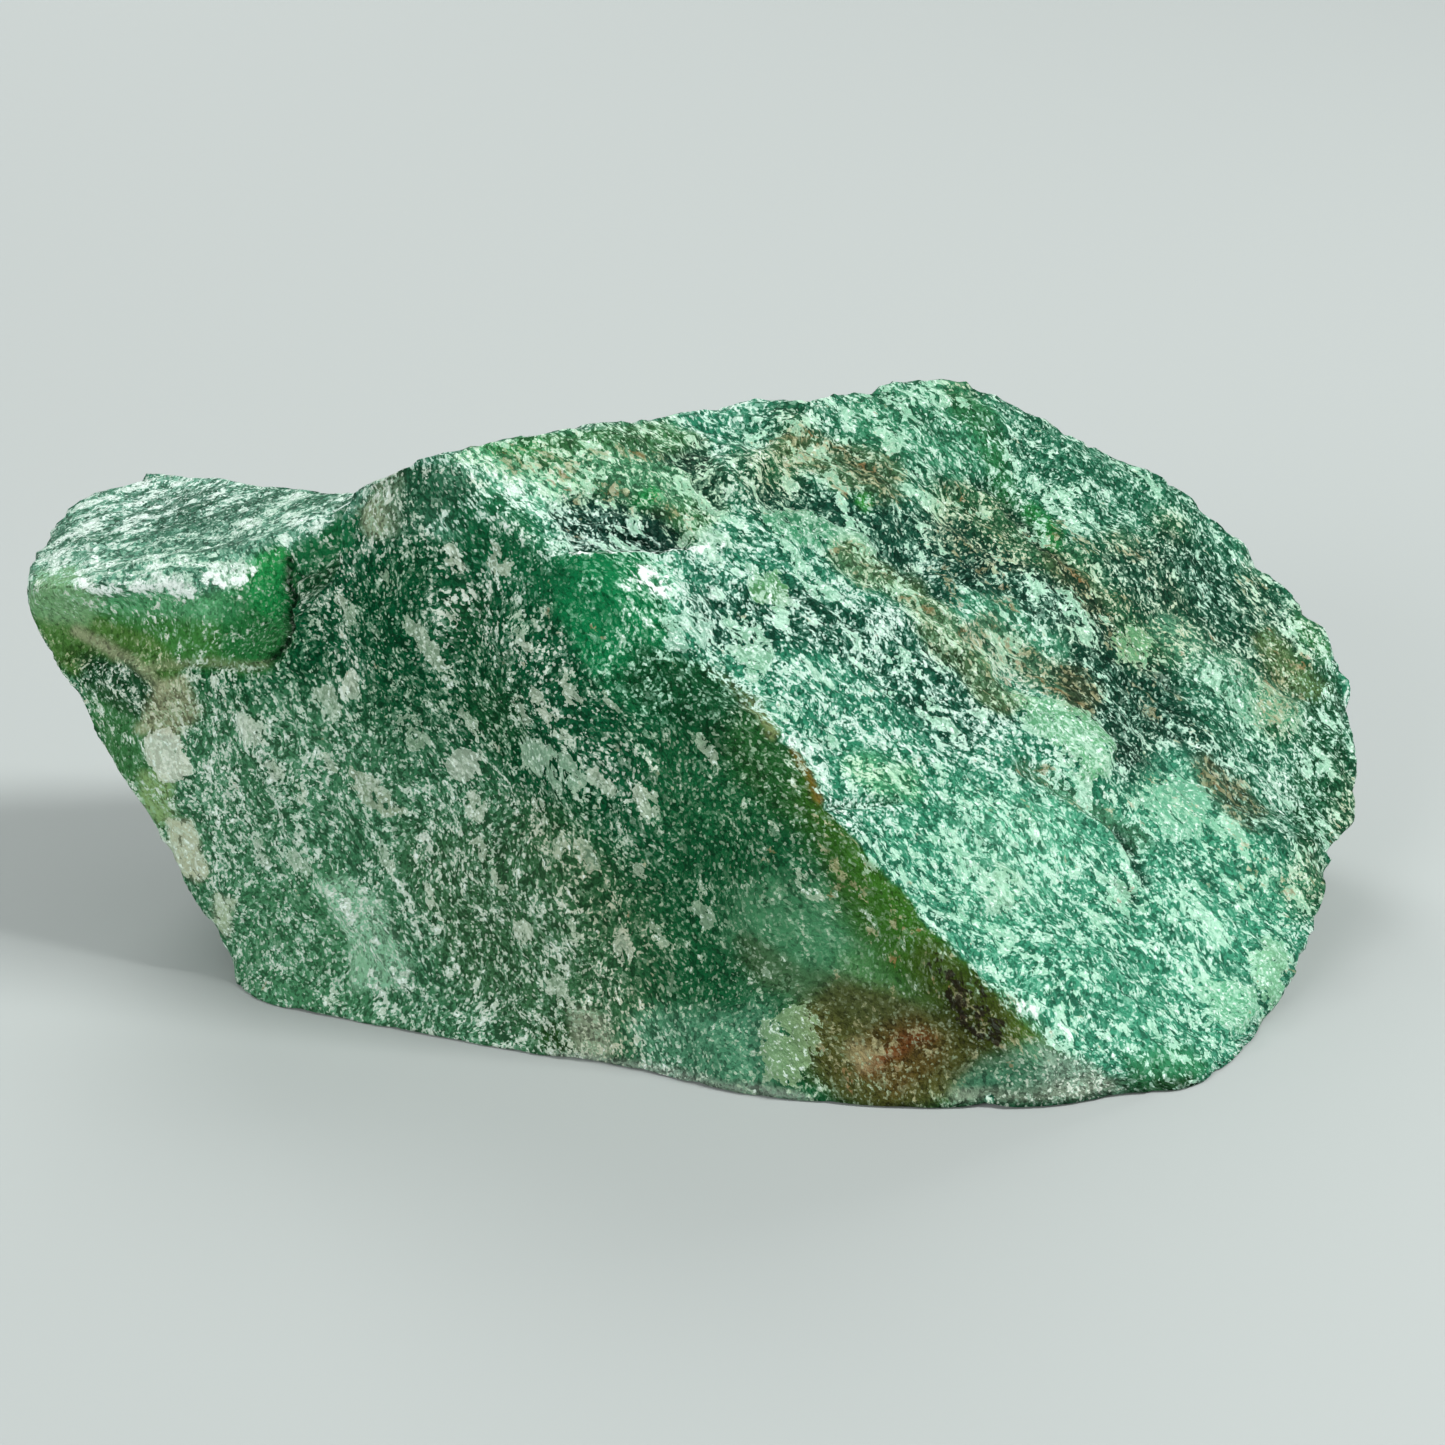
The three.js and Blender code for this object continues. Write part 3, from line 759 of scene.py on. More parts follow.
fine = (1.0 - RIM_FINE_DROP * rim) * (SPLINTER_MM * splinters + GRAIN_MM * grain)
height = calm * (SLAB_MM * slabs + PLATE_MM * plates + LUMP_MM * lumps + fine)
height += unseen * calm * (BACK_SLAB_MM * slabs + BACK_PLATE_MM * plates + BACK_LUMP_MM * lumps)
height -= CHIP_MM * chips * (CALM_CHIP + (1.0 - CALM_CHIP) * calm)
height += summed(RELIEF)
height *= FOOT_RELIEF + (1.0 - FOOT_RELIEF) * rise(points[:, 2], low=0.02, high=1.2)
height *= 1.0 - RIM_DROP * rim
points = points + normals * height[:, None]

low_mm = np.array(cad_box[0]) / MM
high_mm = np.array(cad_box[1]) / MM
place_points(mesh, np.clip(points, low_mm, high_mm))
bpy.ops.object.shade_smooth()

# ---------------------------------------------------------------- what each part of the skin shows

# The glassy ground between the flakes, with painted shade in some recesses and painted light on the bevel and
# the shoulder: name, reach in pixels, strength, colour.
GROUND = [
    ("teal top", 24, 0.6, "#3a8a62"), ("dark upper", 20, 0.85, "#0e4030"),
    ("dark lace", 20, 0.85, "#0d4834"), ("dark middle", 20, 0.8, "#103a2c"),
    ("dark right", 18, 0.9, "#0a3a29"), ("dark far", 28, 0.85, "#0b402c"),
    ("dark rim", 14, 0.8, "#17502f"), ("mint field", 44, 0.75, "#3f9472"),
    ("mint heart", 30, 0.6, "#58ab85"), ("mint left", 30, 0.6, "#2f8562"),
    ("band olive", 30, 0.6, "#5c7446"), ("band mint", 34, 0.5, "#4a9a72"),
    ("band far white", 30, 0.5, "#5a9e78"), ("band tan", 20, 0.4, "#5c643e"),
    ("band shadow", 14, 0.8, "#0a3424"), ("brown top", 40, 0.5, "#4c5a32"),
    ("brown middle", 30, 0.45, "#46482c"), ("brown low", 30, 0.45, "#525038"),
    ("brown plate", 24, 0.4, "#4a5a34"), ("green top", 26, 0.6, "#2a7038"),
    ("green step", 20, 0.8, "#2a863e"), ("green spot", 12, 0.9, "#2a8428"),
    ("green glow", 40, 0.5, "#4c9a62"), ("green far", 20, 0.7, "#3c7c42"),
    # cleft and cleft low: painted shade in the clefts
    ("olive far", 24, 0.6, "#67864f"), ("cleft", 10, 0.9, "#0c3a2a"), ("cleft low", 9, 0.8, "#0c3a2a"),
    # slope crack: painted shade in the crack
    ("slope crack", 6, 0.8, "#1c4a2c"), ("toe green", 14, 0.7, "#2c7544"),
    # toe under: painted shade under the toe
    ("toe under", 8, 0.9, "#1a4420"), ("hollow", 12, 0.9, "#3a6e3e"), ("hollow mint", 20, 0.7, "#44855f"),
    # hollow right dark: painted shade on the hollow's rim wall, which faces away from the light
    ("hollow right dark", 8, 0.9, "#0d382a"), ("hollow green", 12, 0.9, "#24924a"),
    # pocket: painted shade in the recess
    ("crest bright", 16, 0.8, "#33894a"), ("pocket", 5, 1.0, "#0c3a2c"),
    ("deep front", 60, 0.6, "#004828"), ("pale front", 80, 0.8, "#447e58"),
    ("front tan", 70, 0.7, "#36603a"), ("smooth foot", 40, 0.6, "#46855a"),
    ("quiet front", 100, 0.85, "#0e532d"), ("quiet olive", 30, 0.7, "#1c4a1a"),
    ("quiet haze", 60, 0.8, "#448058"), ("quiet low haze", 24, 0.75, "#4a7c46"),
    ("foot haze", 34, 0.6, "#579674"), ("ridge olive", 34, 0.9, "#295414"),
    ("ridge bright", 22, 0.7, "#32641a"), ("ridge low olive", 18, 0.7, "#4a6422"),
    ("foot brown", 32, 0.85, "#4c481c"), ("foot smear", 36, 0.5, "#3e4a28"),
    ("foot rust", 20, 0.5, "#5c401c"), ("foot rust seam", 13, 0.8, "#68381a"),
    ("foot spot", 18, 0.7, "#9c9068"), ("foot teal", 18, 0.8, "#4a8264"),
    ("foot grey", 18, 0.8, "#7d9c86"), ("foot dark", 10, 0.9, "#234c1c"),
    ("foot beige", 10, 0.8, "#8c9a80"), ("foot strip", 12, 0.7, "#8f9f90"),
    ("foot far strip", 14, 0.6, "#868c7a"), ("foot plate", 5, 0.85, "#84b894"),
    ("ridge tan", 14, 0.8, "#7c8a58"), ("ridge rust", 9, 0.8, "#6e5820"), ("knock", 50, 0.7, "#6cc496"),
    ("ledge speckle", 20, 0.6, "#2c5e48"), ("ledge wall", 7, 1.0, "#3c8346"),
    ("wall top", 16, 0.75, "#5aa472"), ("wall low", 18, 0.7, "#36702c"),
    ("wall right", 18, 0.7, "#176e38"), ("wall glow", 14, 0.8, "#188c46"),
    ("ledge flank", 10, 0.8, "#4a7432"), ("ledge pale corner", 12, 0.8, "#7aa878"),
    ("wall foot tan", 12, 0.6, "#9fa184"), ("wall foot", 10, 0.4, "#8f9676"),
    # wall crack: painted shadow in the crack beside the wall
    ("wall crack", 7, 1.0, "#04200f"), ("shoulder emerald", 10, 0.8, "#146a3c"),
    # shoulder veil, shoulder white and, on the next line, shoulder edge: the rounded shoulder's pale green,
    # partly a painted highlight
    ("shoulder veil", 44, 0.6, "#4a9470"), ("shoulder white", 40, 0.6, "#64b088"),
    # pocket: more painted shade in the recess
    ("shoulder edge", 28, 0.5, "#58a47c"), ("pocket", 4, 0.9, "#0c3a2c"), ("bevel", 6, 0.95, "#0a5e35"),
    # bevel bright: the bevel's own emerald with a painted glow of light through the quartz; bevel dark:
    # painted shade at its lower right
    ("bevel bright", 16, 0.75, "#0a7442"), ("bevel dark", 24, 0.85, "#053f1e"),
    ("shoulder flank", 10, 0.8, "#9fae8c"), ("shoulder grey", 24, 0.7, "#2a6044"),
    ("shoulder glass", 26, 0.85, "#0c6038"), ("left glass", 12, 0.8, "#3c7540"),
    ("left dark", 12, 0.8, "#1a4424"), ("left beige", 9, 0.8, "#99a07c"),
    ("left olive", 9, 0.9, "#7fa268"), ("left low tan", 7, 0.9, "#9ca888"),
    ("left foot tan", 7, 0.8, "#98ae8e"), ("stain left", 60, 0.6, "#36380f"),
    ("stain right", 54, 0.6, "#2c300a"),
]

# The pale flakes' own colour: name, reach in pixels, strength, colour.
PALE = [
    ("mint field", 44, 0.6, "#aad8c0"), ("hollow", 12, 0.8, "#b0ceac"), ("brown top", 40, 0.5, "#a0aa80"),
    ("brown middle", 30, 0.6, "#a6a67e"), ("band olive", 34, 0.6, "#b0c294"),
    ("band tan", 18, 0.7, "#a5a67c"), ("ledge flank", 8, 0.8, "#a9b084"),
    ("left beige", 8, 0.9, "#bcc1a2"), ("front tan", 60, 0.8, "#bcbea2"),
    ("foot brown", 20, 0.8, "#8c8656"), ("foot haze", 20, 0.7, "#b4d2bd"),
    # shoulder veil: pale flakes, partly a painted highlight on the rounded shoulder
    ("shoulder glass", 30, 0.6, "#c4dfcd"), ("shoulder veil", 30, 1.0, "#cfe8d9"),
    ("bevel", 10, 0.8, "#9ccbb0"), ("quiet front", 80, 0.6, "#92aa8c"),
    ("pale front", 80, 0.7, "#bcd0bf"), ("green glow", 40, 0.5, "#bce0b0"),
]

# How much more of the ground the pale flakes hide, with fewer of them in painted shade and more where they
# paint a highlight: name, reach in pixels, change.
COVER = [
    ("far slope", 60, -0.03), ("teal top", 24, 0.01), ("dark upper", 20, -0.04),
    ("dark middle", 20, -0.04), ("dark right", 18, -0.06), ("dark far", 28, -0.05),
    ("mint heart", 30, 0.03), ("band white", 30, 0.04), ("band mint", 34, 0.01),
    ("band far white", 30, 0.07), ("band far low white", 26, 0.05), ("band olive", 30, 0.01),
    # cleft: fewer flakes in its painted shade
    ("band shadow", 14, -0.12), ("green top", 24, -0.06), ("green step", 18, -0.08), ("cleft", 10, -0.16),
    # cleft low: fewer flakes in its painted shade
    ("cleft low", 9, -0.16), ("slope streak", 14, 0.07), ("pale spots", 20, 0.07),
    ("pale spots upper", 18, 0.06), ("ridge white", 18, 0.10), ("ridge low white", 26, 0.08),
    ("rim veil", 28, 0.08), ("hollow", 12, -0.02), ("hollow crest", 20, 0.03),
    # hollow right dark and pocket: fewer flakes in their painted shade
    ("hollow right dark", 8, -0.08), ("pocket pale", 10, 0.09), ("pocket", 5, -0.06),
    # toe under: fewer flakes in its painted shade
    ("toe green", 12, -0.1), ("toe under", 8, -0.2), ("deep front", 60, -0.045),
    ("pale front", 80, 0.015), ("smooth foot", 40, -0.06), ("quiet front", 110, -0.125),
    ("quiet haze", 50, -0.04), ("front streak", 20, 0.07), ("front seam", 14, 0.06),
    ("foot plate", 6, 0.02), ("foot brown", 20, -0.1), ("foot haze", 24, 0.05), ("foot strip", 12, 0.06),
    # bevel bright, and bevel dark on the next line: fewer flakes under the bevel's painted glow and painted
    # shade
    ("ridge olive", 20, -0.07), ("ridge low olive", 14, -0.04), ("bevel bright", 12, -0.03),
    ("bevel", 6, -0.03), ("bevel dark", 30, -0.04), ("knock", 60, 0.1), ("ledge wall", 7, -0.12),
    ("wall top", 14, 0.04), ("ledge flank", 8, -0.05), ("ledge pale corner", 10, 0.02),
    # wall crack: fewer flakes in its painted shadow
    ("wall crack", 9, -0.2), ("crack tan", 14, 0.08), ("shoulder emerald", 10, -0.1),
    # shoulder veil, and shoulder edge and shoulder white on the next line: more flakes, partly a painted
    # highlight on the rounded shoulder
    ("shoulder grey", 24, -0.02), ("shoulder glass", 24, -0.05), ("shoulder veil", 28, 0.08),
    ("shoulder edge", 24, 0.1), ("shoulder white", 28, 0.1), ("crest white", 16, 0.08),
    ("left glass", 10, -0.08), ("left olive", 8, -0.08), ("foot teal", 14, -0.05),
    # lip white and lip white right: more flakes, partly a painted highlight on the ledge's lip
    ("foot grey", 14, -0.06), ("lip white", 26, 0.08), ("lip white right", 18, 0.08),
    # ledge streaks, here and on the next two lines: more flakes, partly a painted highlight on the ledge's
    # glossy top
    ("mint field", 44, -0.03), ("foot flake", 6, -0.05), ("ledge streak far", 16, 0.13),
    ("ledge streak left", 18, 0.12), ("ledge streak front", 16, 0.13), ("ledge streak middle", 16, 0.11),
    ("ledge streak right", 12, 0.1), ("ledge speckle", 20, -0.06),
]

# Single plates of mica: name, colour.
PLATES = [
    ("left tan", "#e2e6d4"), ("left low tan", "#c0c8ac"), ("left foot tan", "#a8bc9a"),
    ("foot flake", "#86a678"), ("flake mint", "#4fa072"), ("flake white", "#8fc8a2"),
    ("flake olive", "#68a466"), ("flake knock", "#9fd0b6"), ("flake tooth", "#9fd4b0"),
    ("flake rimmed", "#76b884"), ("flake small", "#7ab682"), ("flake far", "#4c9870"),
    ("flake low", "#7cc09c"), ("flake round", "#a8d6b4"), ("flake edge", "#90c89c"),
    ("flake corner", "#76be90"), ("pocket corner", "#9fc9aa"), ("front plate", "#9abfa2"),
    ("front long flake", "#a6b298"), ("front flake", "#b6c6b2"), ("front upper flake", "#9fb79c"),
]

# Iron stain between the layers: name, reach in pixels, strength.
RUST = [
    ("brown top", 50, 0.8), ("brown top rust", 22, 1.0), ("brown far top", 22, 0.8),
    ("brown middle", 40, 0.8), ("brown knot", 24, 0.9), ("brown dark", 22, 0.9), ("brown far", 20, 0.9),
    ("brown low", 34, 0.9), ("brown lowest", 34, 0.6), ("brown plate", 28, 0.6), ("brown glint", 16, 0.8),
    ("band tan", 18, 0.5), ("band tan low", 20, 0.6), ("band olive", 30, 0.6), ("hollow brown", 36, 1.0),
    ("hollow brown top", 16, 1.0), ("hollow fibres", 20, 0.8), ("foot rust", 18, 0.8),
    ("foot brown", 24, 0.5), ("ridge rust", 10, 0.7), ("ridge olive", 30, 0.5),
    ("ridge low olive", 16, 0.6),
]

# Black threads in the stain: name, reach in pixels, strength.
SOOT = [("stain left", 50, 1.0), ("stain right", 46, 1.0)]

# Crushed, whitened quartz, and on the ledge's lip and the rounded shoulder partly a painted highlight: name,
# reach in pixels, strength.
BRUISE_AND_SHEEN = [
    ("knock", 34, 0.85), ("shoulder white", 24, 0.5), ("shoulder edge", 18, 0.5), ("crest white", 14, 0.5),
    ("lip white", 18, 0.85), ("lip white right", 14, 0.85), ("lip", 16, 0.55), ("ledge rim", 10, 0.5),
    ("pocket lip", 9, 0.8), ("flake knock", 6, 0.5), ("plate edge", 8, 0.45),
]

# Where the slope has no slivers: name, reach in pixels, change.
FEW_SLIVERS = [("dark right", 20, -0.6), ("dark far", 30, -0.6)]

# how much of the ground the flakes hide before any mark, and how much more on the slope and the ledge
COVER_SHARE = 0.40
SLOPE_COVER = 0.02
FABRIC_COVER = -0.07
LEDGE_COVER = 0.03
# and on the sides that the camera doesn't see
DRIFT_COVER = 0.12
SMALL_COVER = 0.05
BANDING_COVER = -0.1
CLEAR_COVER = -0.14

# how dark the ground is in the fabric's folds, as a share of its own colour
DARK_FABRIC = 0.45

# how strongly each kind of plate and flake shows
PLATE_REACH = 11
PLATE_TINT_REACH = 16
PLATE_SHARE = 0.86
MINT_PLATES = 0.32
FEWEST_SLIVERS = 0.2
MORE_SLIVERS = 0.42
MINT_FLAKES = 0.6
FRONT_FLAKES = 0.7
BACK_FLAKES = 0.8

# rust on the sides that aren't seen lies where the banding is within a width of a level
RUSTY_LEVEL = 0.1
RUSTY_WIDTH = 0.3
BAND_RUST = 0.9
SLOPE_RUST = 0.35
WARM_RUST = 0.5
# how bruised a bare ridge is, and the share of that which shows on the seen side
RIDGE_BRUISE = 0.4
SEEN_BRUISE = 0.5


def mixed(low_tint, high_tint, amount):
    """One colour per vertex, from low_tint where amount is 0 to high_tint where it is 1."""
    low = np.array(colour(low_tint)[:3])
    high = np.array(colour(high_tint)[:3])
    return low + amount[:, None] * (high - low)


def lay(tones, coat, amount, strength=1.0):
    """Lays a colour, or one colour per vertex, over the tones by an amount per vertex."""
    if isinstance(coat, str):
        coat = np.array(colour(coat)[:3])
    tones += (strength * amount)[:, None] * (coat - tones)


def wash(tones, name, reach, strength, tint):
    """Lays a colour over one named place."""
    lay(tones, tint, mark(name, reach), strength)


warm_slope = rise(warm_drift, low=-0.1, high=0.5) * mark("far slope", 60)

ground = mixed("#00552f", "#166a44", rise(small_drift, low=-0.4, high=0.6))
lay(ground, "#305c2c", rise(warm_drift, low=-0.1, high=0.5) * seen, strength=0.45)
lay(ground, mixed("#115339", "#3a9874", rise(drift, low=-0.3, high=0.7)), unseen)
lay(ground, "#4c6a30", unseen * rise(warm_drift, low=0.1, high=0.6), strength=0.75)
lay(ground, "#0a4430", unseen * rise(banding, low=0.05, high=0.5), strength=0.7)
lay(ground, mixed("#3a7056", "#528a70", rise(small_drift, low=-0.4, high=0.5)), ledge_top)
wash(ground, "slope", reach=5, strength=1.0, tint="#297a5b")
wash(ground, "far slope", reach=60, strength=0.75, tint="#1c5b3f")
lay(ground, "#33663a", warm_slope, strength=0.6)
for row in GROUND:
    wash(ground, *row)
lay(ground, DARK_FABRIC * ground, slope * rise(fabric, low=0.0, high=0.6), strength=0.5)

pale = mixed("#a6bfa6", "#ccd8c8", rise(small_drift, low=-0.4, high=0.4))
lay(pale, mixed("#b4d2be", "#d8ece0", rise(drift, low=-0.4, high=0.5)), np.clip(unseen + ledge_top, 0.0, 1.0))
wash(pale, "slope", reach=8, strength=1.0, tint="#bfdccd")
wash(pale, "far slope", reach=60, strength=0.8, tint="#a8ccb6")
lay(pale, "#c2caa8", warm_slope, strength=0.8)
for row in PALE:
    wash(pale, *row)

plate_tone = mixed("#8aa68a", "#b4c4ac", rise(small_drift, low=-0.3, high=0.3))
lay(plate_tone, "#9fdcb8", slope, strength=0.9)
for name, tint in PLATES:
    wash(plate_tone, name, PLATE_TINT_REACH, strength=1.0, tint=tint)

sliver_share = FEWEST_SLIVERS + MORE_SLIVERS * rise(slivers, low=0.15, high=0.5)
plate = np.max([
    strongest([(name, PLATE_REACH, PLATE_SHARE) for name, _ in PLATES]),
    MINT_PLATES * mark("mint field", 40),
    sliver_share * np.maximum(slope + summed(FEW_SLIVERS), unseen),
    MINT_FLAKES * flakes(FLAKES_MINT, width=30),
    FRONT_FLAKES * flakes(FLAKES_FRONT, width=15),
    BACK_FLAKES * scattered(count=260, size=2.6, seed=21),
], axis=0)

flecks = COVER_SHARE + (SLOPE_COVER + FABRIC_COVER * fabric) * slope + LEDGE_COVER * ledge_top
flecks += summed(COVER)
flecks += unseen * (
    DRIFT_COVER * drift + SMALL_COVER * small_drift + BANDING_COVER * banding + CLEAR_COVER * clear)

rusty_bands = rise(RUSTY_WIDTH - np.abs(banding - RUSTY_LEVEL), low=0.0, high=0.25)
rusty_bands *= rise(warm_drift, low=-0.3, high=0.3)
rust = np.max([
    strongest(RUST),
    BAND_RUST * rusty_bands * unseen,
    SLOPE_RUST * rise(small_drift, low=0.1, high=0.6) * slope + WARM_RUST * warm_slope,
], axis=0)
soot = strongest(SOOT)
bare_ridge = rise(ridge, low=0.35, high=0.9) * rise(small_drift, low=-0.2, high=0.4)
bruise = np.max([
    strongest(BRUISE_AND_SHEEN),
    strongest([("ridge white", 14, 0.64)]) * rise(small_drift, low=-0.7, high=0.1),
    strongest([("ridge low white", 20, 0.6)]) * rise(small_drift, low=-0.6, high=0.2),
    RIDGE_BRUISE * bare_ridge * (SEEN_BRUISE + (1.0 - SEEN_BRUISE) * unseen),
], axis=0)

# Everything that the stone's material reads from the mesh.
PAINTED = {
    "ground": ground, "pale": pale, "plate_tone": plate_tone, "plate": plate, "flecks": flecks,
    "clear": clear, "rust": rust, "soot": soot, "bruise": bruise, "streak": ledge_top,
}


def store(name, values):
    """Keeps one number, or one colour, per vertex for the material to read."""
    if values.ndim == 2:
        kept = mesh.attributes.new(name, "FLOAT_COLOR", "POINT")
        rgba = np.concatenate((np.clip(values, 0.0, 1.0), np.ones((len(values), 1))), axis=1)
        kept.data.foreach_set("color", np.ascontiguousarray(rgba, dtype=np.float32).ravel())
    else:
        kept = mesh.attributes.new(name, "FLOAT", "POINT")
        kept.data.foreach_set("value", np.ascontiguousarray(values, dtype=np.float32))


for name, values in PAINTED.items():
    store(name, values)

# ---------------------------------------------------------------- materials

# Noises in the layers' own frame: grain in mm along, across and through the layers, detail, raggedness.
NOISES = {
    "cloud": ((10, 6, 3.5), 2.0, 0.5),
    "tuft": ((2.6, 1.7, 1.3), 3.0, 0.6),
    "lace": ((0.85, 0.65, 0.6), 3.0, 0.7),
    "thread": ((3.8, 2.6, 0.5), 3.0, 0.62),
    "seam": ((9, 3.4, 0.9), 3.0, 0.7),
    "strand": ((6.5, 4.2, 1.5), 4.0, 0.6),
}

# Grains with a random value each, from mica flakes of 2 mm down to single quartz grains of 0.3 mm:
# size in mm along, across and through the layers.
GRAINS = {"flake": (2.2, 1.4, 0.8), "crumb": (0.78, 0.55, 0.45), "dust": (0.32, 0.26, 0.24)}

# A score is a level plus so much of each part. A share that is a name stands for that part's value.
SCORES = {
    "mottle": (-1.375, {"crumb": 0.55, "dust": 0.5, "lace": 0.6, "tuft": 0.6, "cloud": 0.5}),
    "rawness": (1.0, {"clear": -0.35}),
    "uneven": (0.0, {"mottle": "rawness"}),
    "lacework": (
        -1.03, {"lace": 0.3, "crumb": 0.26, "dust": 0.28, "flake": 0.2, "tuft": 0.66, "cloud": 0.36}),
    # strands: the ledge's layering, partly a painted highlight on its glossy top
    "strands": (-1.11, {"strand": 1.8, "crumb": 0.14, "dust": 0.14, "flake": 0.14}),
    "strand_lead": (0.0, {"strands": 1.0, "lacework": -1.0}),
    "crowd": (0.0, {"lacework": 1.0, "strand_lead": "streak", "flecks": 1.0}),
    "plate_score": (-1.5, {"plate": 1.0, "tuft": 1.5, "lace": 0.7, "crumb": 0.35, "flake": 0.45}),
    "open_skin": (0.6, {"clear": -0.42}),
    "relief": (0.0, {"lace": 1.0, "tuft": 1.6, "crumb": 0.25}),
}

# A mask is 0 where its score is at the first value and 1 at the second: those two, then the score.
MASKS = {
    "ground_mask": (-0.42, 0.0, 0.0, {"uneven": 1.0}),
    "lit_mask": (0.0, 0.42, 0.0, {"uneven": 1.0}),
    "veil_mask": (0.38, 0.47, 0.0, {"crowd": 1.0}),
    "fleck_mask": (0.51, 0.54, 0.0, {"crowd": 1.0}),
    "fleck_pale": (0.25, 0.7, 0.0, {"crumb": 0.4, "dust": 0.3, "flake": 0.3}),
    "fleck_shine": (0.72, 0.84, 0.0, {"crowd": 1.0, "dust": 0.14}),
    "glint_mask": (0.87, 0.93, -0.15, {"dust": 1.0, "lace": 0.3}),
    "pit_shade_mask": (0.12, 0.05, 0.0, {"dust": 1.0}),
    "plate_mask": (0.5, 0.55, 0.0, {"plate_score": 1.0}),
    "plate_edge": (0.66, 0.56, 0.0, {"plate_score": 1.0}),
    "plate_pale": (-0.3, 0.3, 0.0, {"uneven": 1.0}),
    "plate_shine": (0.72, 0.86, 0.0, {"lace": 0.8, "dust": 0.4}),
    "stain_mask": (0.5, 0.58, -0.455, {"thread": 0.8, "seam": 0.3, "crumb": 0.2, "dust": 0.14, "rust": 0.24}),
    "stain_pale": (0.45, 0.85, 0.0, {"lace": 1.0, "crumb": 0.3}),
    "stain_red": (0.58, 0.64, 0.0, {"seam": 1.0}),
    "soot_mask": (0.5, 0.58, -0.83, {"seam": 0.6, "lace": 0.6, "tuft": 0.5, "soot": 0.5}),
    "crushed_and_sheen_mask": (0.5, 0.62, -0.52, {"lace": 0.6, "tuft": 0.6, "crumb": 0.15, "bruise": 0.5}),
}

# Worked out from the masks.
FINISH = {
    "plate_rim": (0.0, {"plate_mask": "plate_edge"}),
    "rough": (0.36, {"fleck_mask": 0.14, "crushed_and_sheen_mask": 0.12, "clear": -0.06}),
}

# the deepest green as a share of the ground, and the veil's cast as shares of red, green and blue
DEEP_SHARE = 0.4
VEIL_CAST = (0.76, 1.05, 0.98)
NOISE_MIDDLE = (0.5, 0.5, 0.5)
QUARTZ_IOR = 1.544
# a broken face scatters most of its shine
QUARTZ_SHINE = 0.04
PAPER_ROUGHNESS = 0.85


def add(tree, kind, inputs=None, **settings):
    """Adds one node, sets its settings, and gives each named socket a value or a link."""
    made = tree.nodes.new("ShaderNode" + kind)
    for name, value in settings.items():
        setattr(made, name, value)
    for name, value in (inputs or {}).items():
        if isinstance(value, bpy.types.NodeSocket):
            tree.links.new(value, made.inputs[name])
        else:
            made.inputs[name].default_value = value
    return made


def blank(name):
    """A material with an empty tree, and the tree."""
    material = bpy.data.materials.new(name)
    material.use_nodes = True
    material.node_tree.nodes.clear()
    return material, material.node_tree


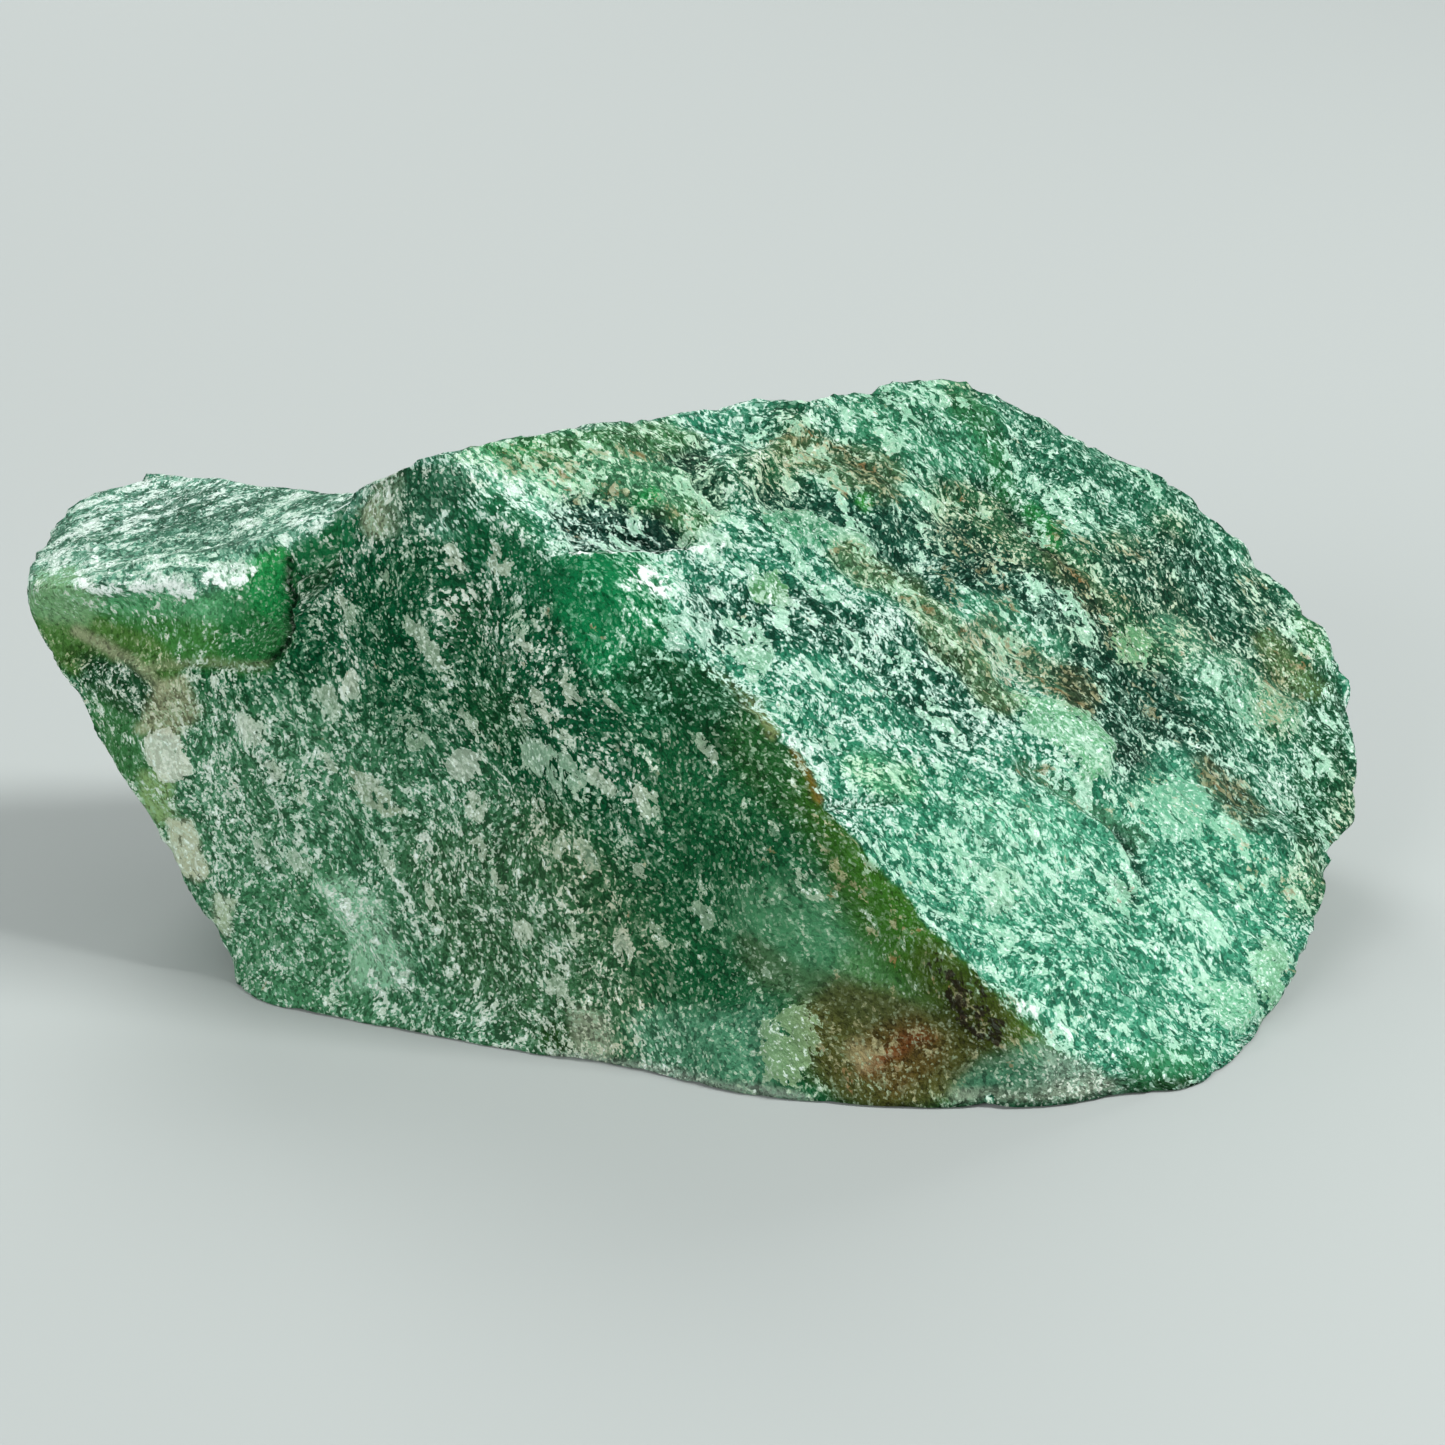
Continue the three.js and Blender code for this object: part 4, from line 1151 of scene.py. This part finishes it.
def aventurine_quartz():
    """Aventurine: green quartz grains with flat flakes of chrome mica, broken by hand.

    The eye sees a dark glassy green under a fine pale lace of flakes that lie in layers.
    """
    material, tree = blank("aventurine_quartz")
    place = add(tree, "TexCoord").outputs["Object"]
    part = {}

    def pushed(start, size, reach, detail):
        """Places pushed about by noise: size and reach in mm."""
        push = add(tree, "TexNoise", {"Vector": place, "Scale": 1 / (size * MM), "Detail": detail})
        push = add(tree, "VectorMath", {0: push.outputs["Color"], 1: NOISE_MIDDLE}, operation="SUBTRACT")
        sockets = {0: push.outputs[0], 1: (reach * MM,) * 3, 2: start}
        return add(tree, "VectorMath", sockets, operation="MULTIPLY_ADD").outputs[0]

    def layered(kind, start, sizes, **inputs):
        """A texture in the layers' own frame, with grains of those sizes in mm."""
        sockets = {"Vector": start, "Rotation": LAYER_TURN, "Scale": [size * MM for size in sizes]}
        turned = add(tree, "Mapping", sockets, vector_type="TEXTURE").outputs[0]
        return add(tree, kind, {"Vector": turned, "Scale": 1.0, **inputs})

    def score(level, shares):
        """A level plus so much of each part."""
        whole = level
        for name, share in shares.items():
            sockets = {0: part[name], 1: part.get(share, share), 2: whole}
            whole = add(tree, "Math", sockets, operation="MULTIPLY_ADD").outputs[0]
        return whole

    def over(base, coat, amount, strength=1.0):
        """A coat over a base, as far as an amount times a strength says."""
        cover = add(tree, "Math", {0: amount, 1: strength}, operation="MULTIPLY").outputs[0]
        return add(tree, "Mix", {0: cover, 6: base, 7: coat}, data_type="RGBA").outputs[2]

    # the layers bend gently, over about 11 mm, and every grain's edge is frayed
    bent = pushed(place, size=11, reach=3, detail=0.0)
    frayed = pushed(bent, size=0.7, reach=0.2, detail=2.0)

    for name, values in PAINTED.items():
        kept = add(tree, "Attribute", attribute_name=name)
        part[name] = kept.outputs["Color" if values.ndim == 2 else "Fac"]
    for name, (sizes, detail, ragged) in NOISES.items():
        part[name] = layered("TexNoise", bent, sizes, Detail=detail, Roughness=ragged).outputs[0]
    for name, sizes in GRAINS.items():
        cells = layered("TexVoronoi", frayed, sizes).outputs["Color"]
        part[name] = add(tree, "SeparateColor", {0: cells}).outputs[0]
    for name, (level, shares) in SCORES.items():
        part[name] = score(level, shares)
    for name, (low, high, level, shares) in MASKS.items():
        sockets = {0: score(level, shares), 1: low, 2: high}
        part[name] = add(tree, "MapRange", sockets, interpolation_type="SMOOTHSTEP").outputs[0]
    for name, (level, shares) in FINISH.items():
        part[name] = score(level, shares)
    ground = part["ground"]
    pale = part["pale"]

    # glassy grains, each a little lighter or darker than the next
    deep = add(tree, "VectorMath", {0: ground, "Scale": DEEP_SHARE}, operation="SCALE").outputs[0]
    lit = over(ground, pale, amount=0.3)
    skin = over(deep, ground, part["ground_mask"])
    skin = over(skin, lit, part["lit_mask"])

    # pale flakes, 0.3 to 1 mm across, thickest where the tufts crowd; long strands on the ledge, partly its
    # layering and partly a painted highlight on its glossy top
    veil = over(ground, pale, amount=0.42)
    veil = add(tree, "VectorMath", {0: veil, 1: VEIL_CAST}, operation="MULTIPLY").outputs[0]
    skin = over(skin, veil, part["veil_mask"], strength=0.55)
    fleck = over(over(pale, ground, amount=0.45), pale, part["fleck_pale"])
    fleck = over(fleck, colour("#e6f4ec"), part["fleck_shine"])
    skin = over(skin, fleck, part["fleck_mask"], strength=0.9)

    # the finest grains: a few carry a painted glint, as if they caught the light, and a few are pits darkened
    # with painted shade
    skin = over(skin, pale, part["glint_mask"], strength=part["open_skin"])
    skin = over(skin, deep, part["pit_shade_mask"], strength=part["open_skin"])

    # single larger plates with ragged, brighter rims
    plate_tone = part["plate_tone"]
    mica = over(over(plate_tone, ground, amount=0.35), plate_tone, part["plate_pale"])
    mica = over(mica, pale, part["veil_mask"], strength=0.45)
    mica = over(mica, colour("#e4f6ea"), part["plate_shine"])
    skin = over(skin, mica, part["plate_mask"], strength=0.74)
    skin = over(skin, pale, part["plate_rim"], strength=0.4)

    # iron stain settles between the layers, with black threads in it
    stain = over(colour("#3c3c1c"), colour("#a3a078"), part["stain_pale"])
    stain = over(stain, colour("#86643c"), part["stain_red"])
    skin = over(skin, stain, part["stain_mask"], strength=0.62)
    skin = over(skin, colour("#17110a"), part["soot_mask"], strength=0.9)

    # crushed, whitened quartz on knocked ridges, and on the ledge's lip and the rounded shoulder partly a
    # painted highlight
    skin = over(skin, colour("#ecf8f1"), part["crushed_and_sheen_mask"], strength=0.95)

    bump = add(tree, "Bump", {"Height": part["relief"], "Strength": 0.9, "Distance": 0.7 * MM})
    shader = add(tree, "BsdfPrincipled", {
        "Base Color": skin, "Roughness": part["rough"], "IOR": QUARTZ_IOR,
        "Specular IOR Level": QUARTZ_SHINE, "Normal": bump.outputs[0]})
    add(tree, "OutputMaterial", {"Surface": shader.outputs[0]})
    return material


def table_paper():
    """Matt pale paper under the stone, plain to the eye."""
    material, tree = blank("table_paper")
    shader = add(tree, "BsdfPrincipled", {"Base Color": colour("#a3a9a7"), "Roughness": PAPER_ROUGHNESS})
    add(tree, "OutputMaterial", {"Surface": shader.outputs[0]})
    return material


stone.data.materials.append(aventurine_quartz())
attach(stone, "root")
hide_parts("aventurine")

# ---------------------------------------------------------------- table and light

TABLE_M = 6.0
LIT_POINT = Vector((0.0, 0.0, 0.03))
# Softboxes: name, place in metres, width in metres, power.
SOFTBOXES = [
    ("key_softbox", Vector((0.75, -0.15, 0.8)), 0.28, 13.0),
    ("top_softbox", Vector((-0.3, 0.8, 0.7)), 0.5, 6.0),
    ("front_softbox", Vector((-0.7, -0.9, 0.45)), 0.6, 9.0),
]
ROOM_TONE = "#e9edee"
ROOM_STRENGTH = 0.45

bpy.ops.object.select_all(action="DESELECT")
bpy.ops.mesh.primitive_plane_add(size=TABLE_M, location=(0.0, 0.0, 0.0))
table = bpy.context.object
table.name = "table"
table.data.materials.append(table_paper())

for name, spot, width, power in SOFTBOXES:
    light = bpy.data.lights.new(name, "AREA")
    light.shape = "SQUARE"
    light.size = width
    light.energy = power
    softbox = bpy.data.objects.new(name, light)
    softbox.location = spot
    softbox.rotation_euler = (LIT_POINT - spot).to_track_quat("-Z", "Y").to_euler()
    bpy.context.scene.collection.objects.link(softbox)

world = bpy.data.worlds.new("studio")
world.use_nodes = True
room = world.node_tree.nodes["Background"]
room.inputs["Color"].default_value = colour(ROOM_TONE)
room.inputs["Strength"].default_value = ROOM_STRENGTH
bpy.context.scene.world = world
bpy.context.scene.view_settings.view_transform = "Standard"
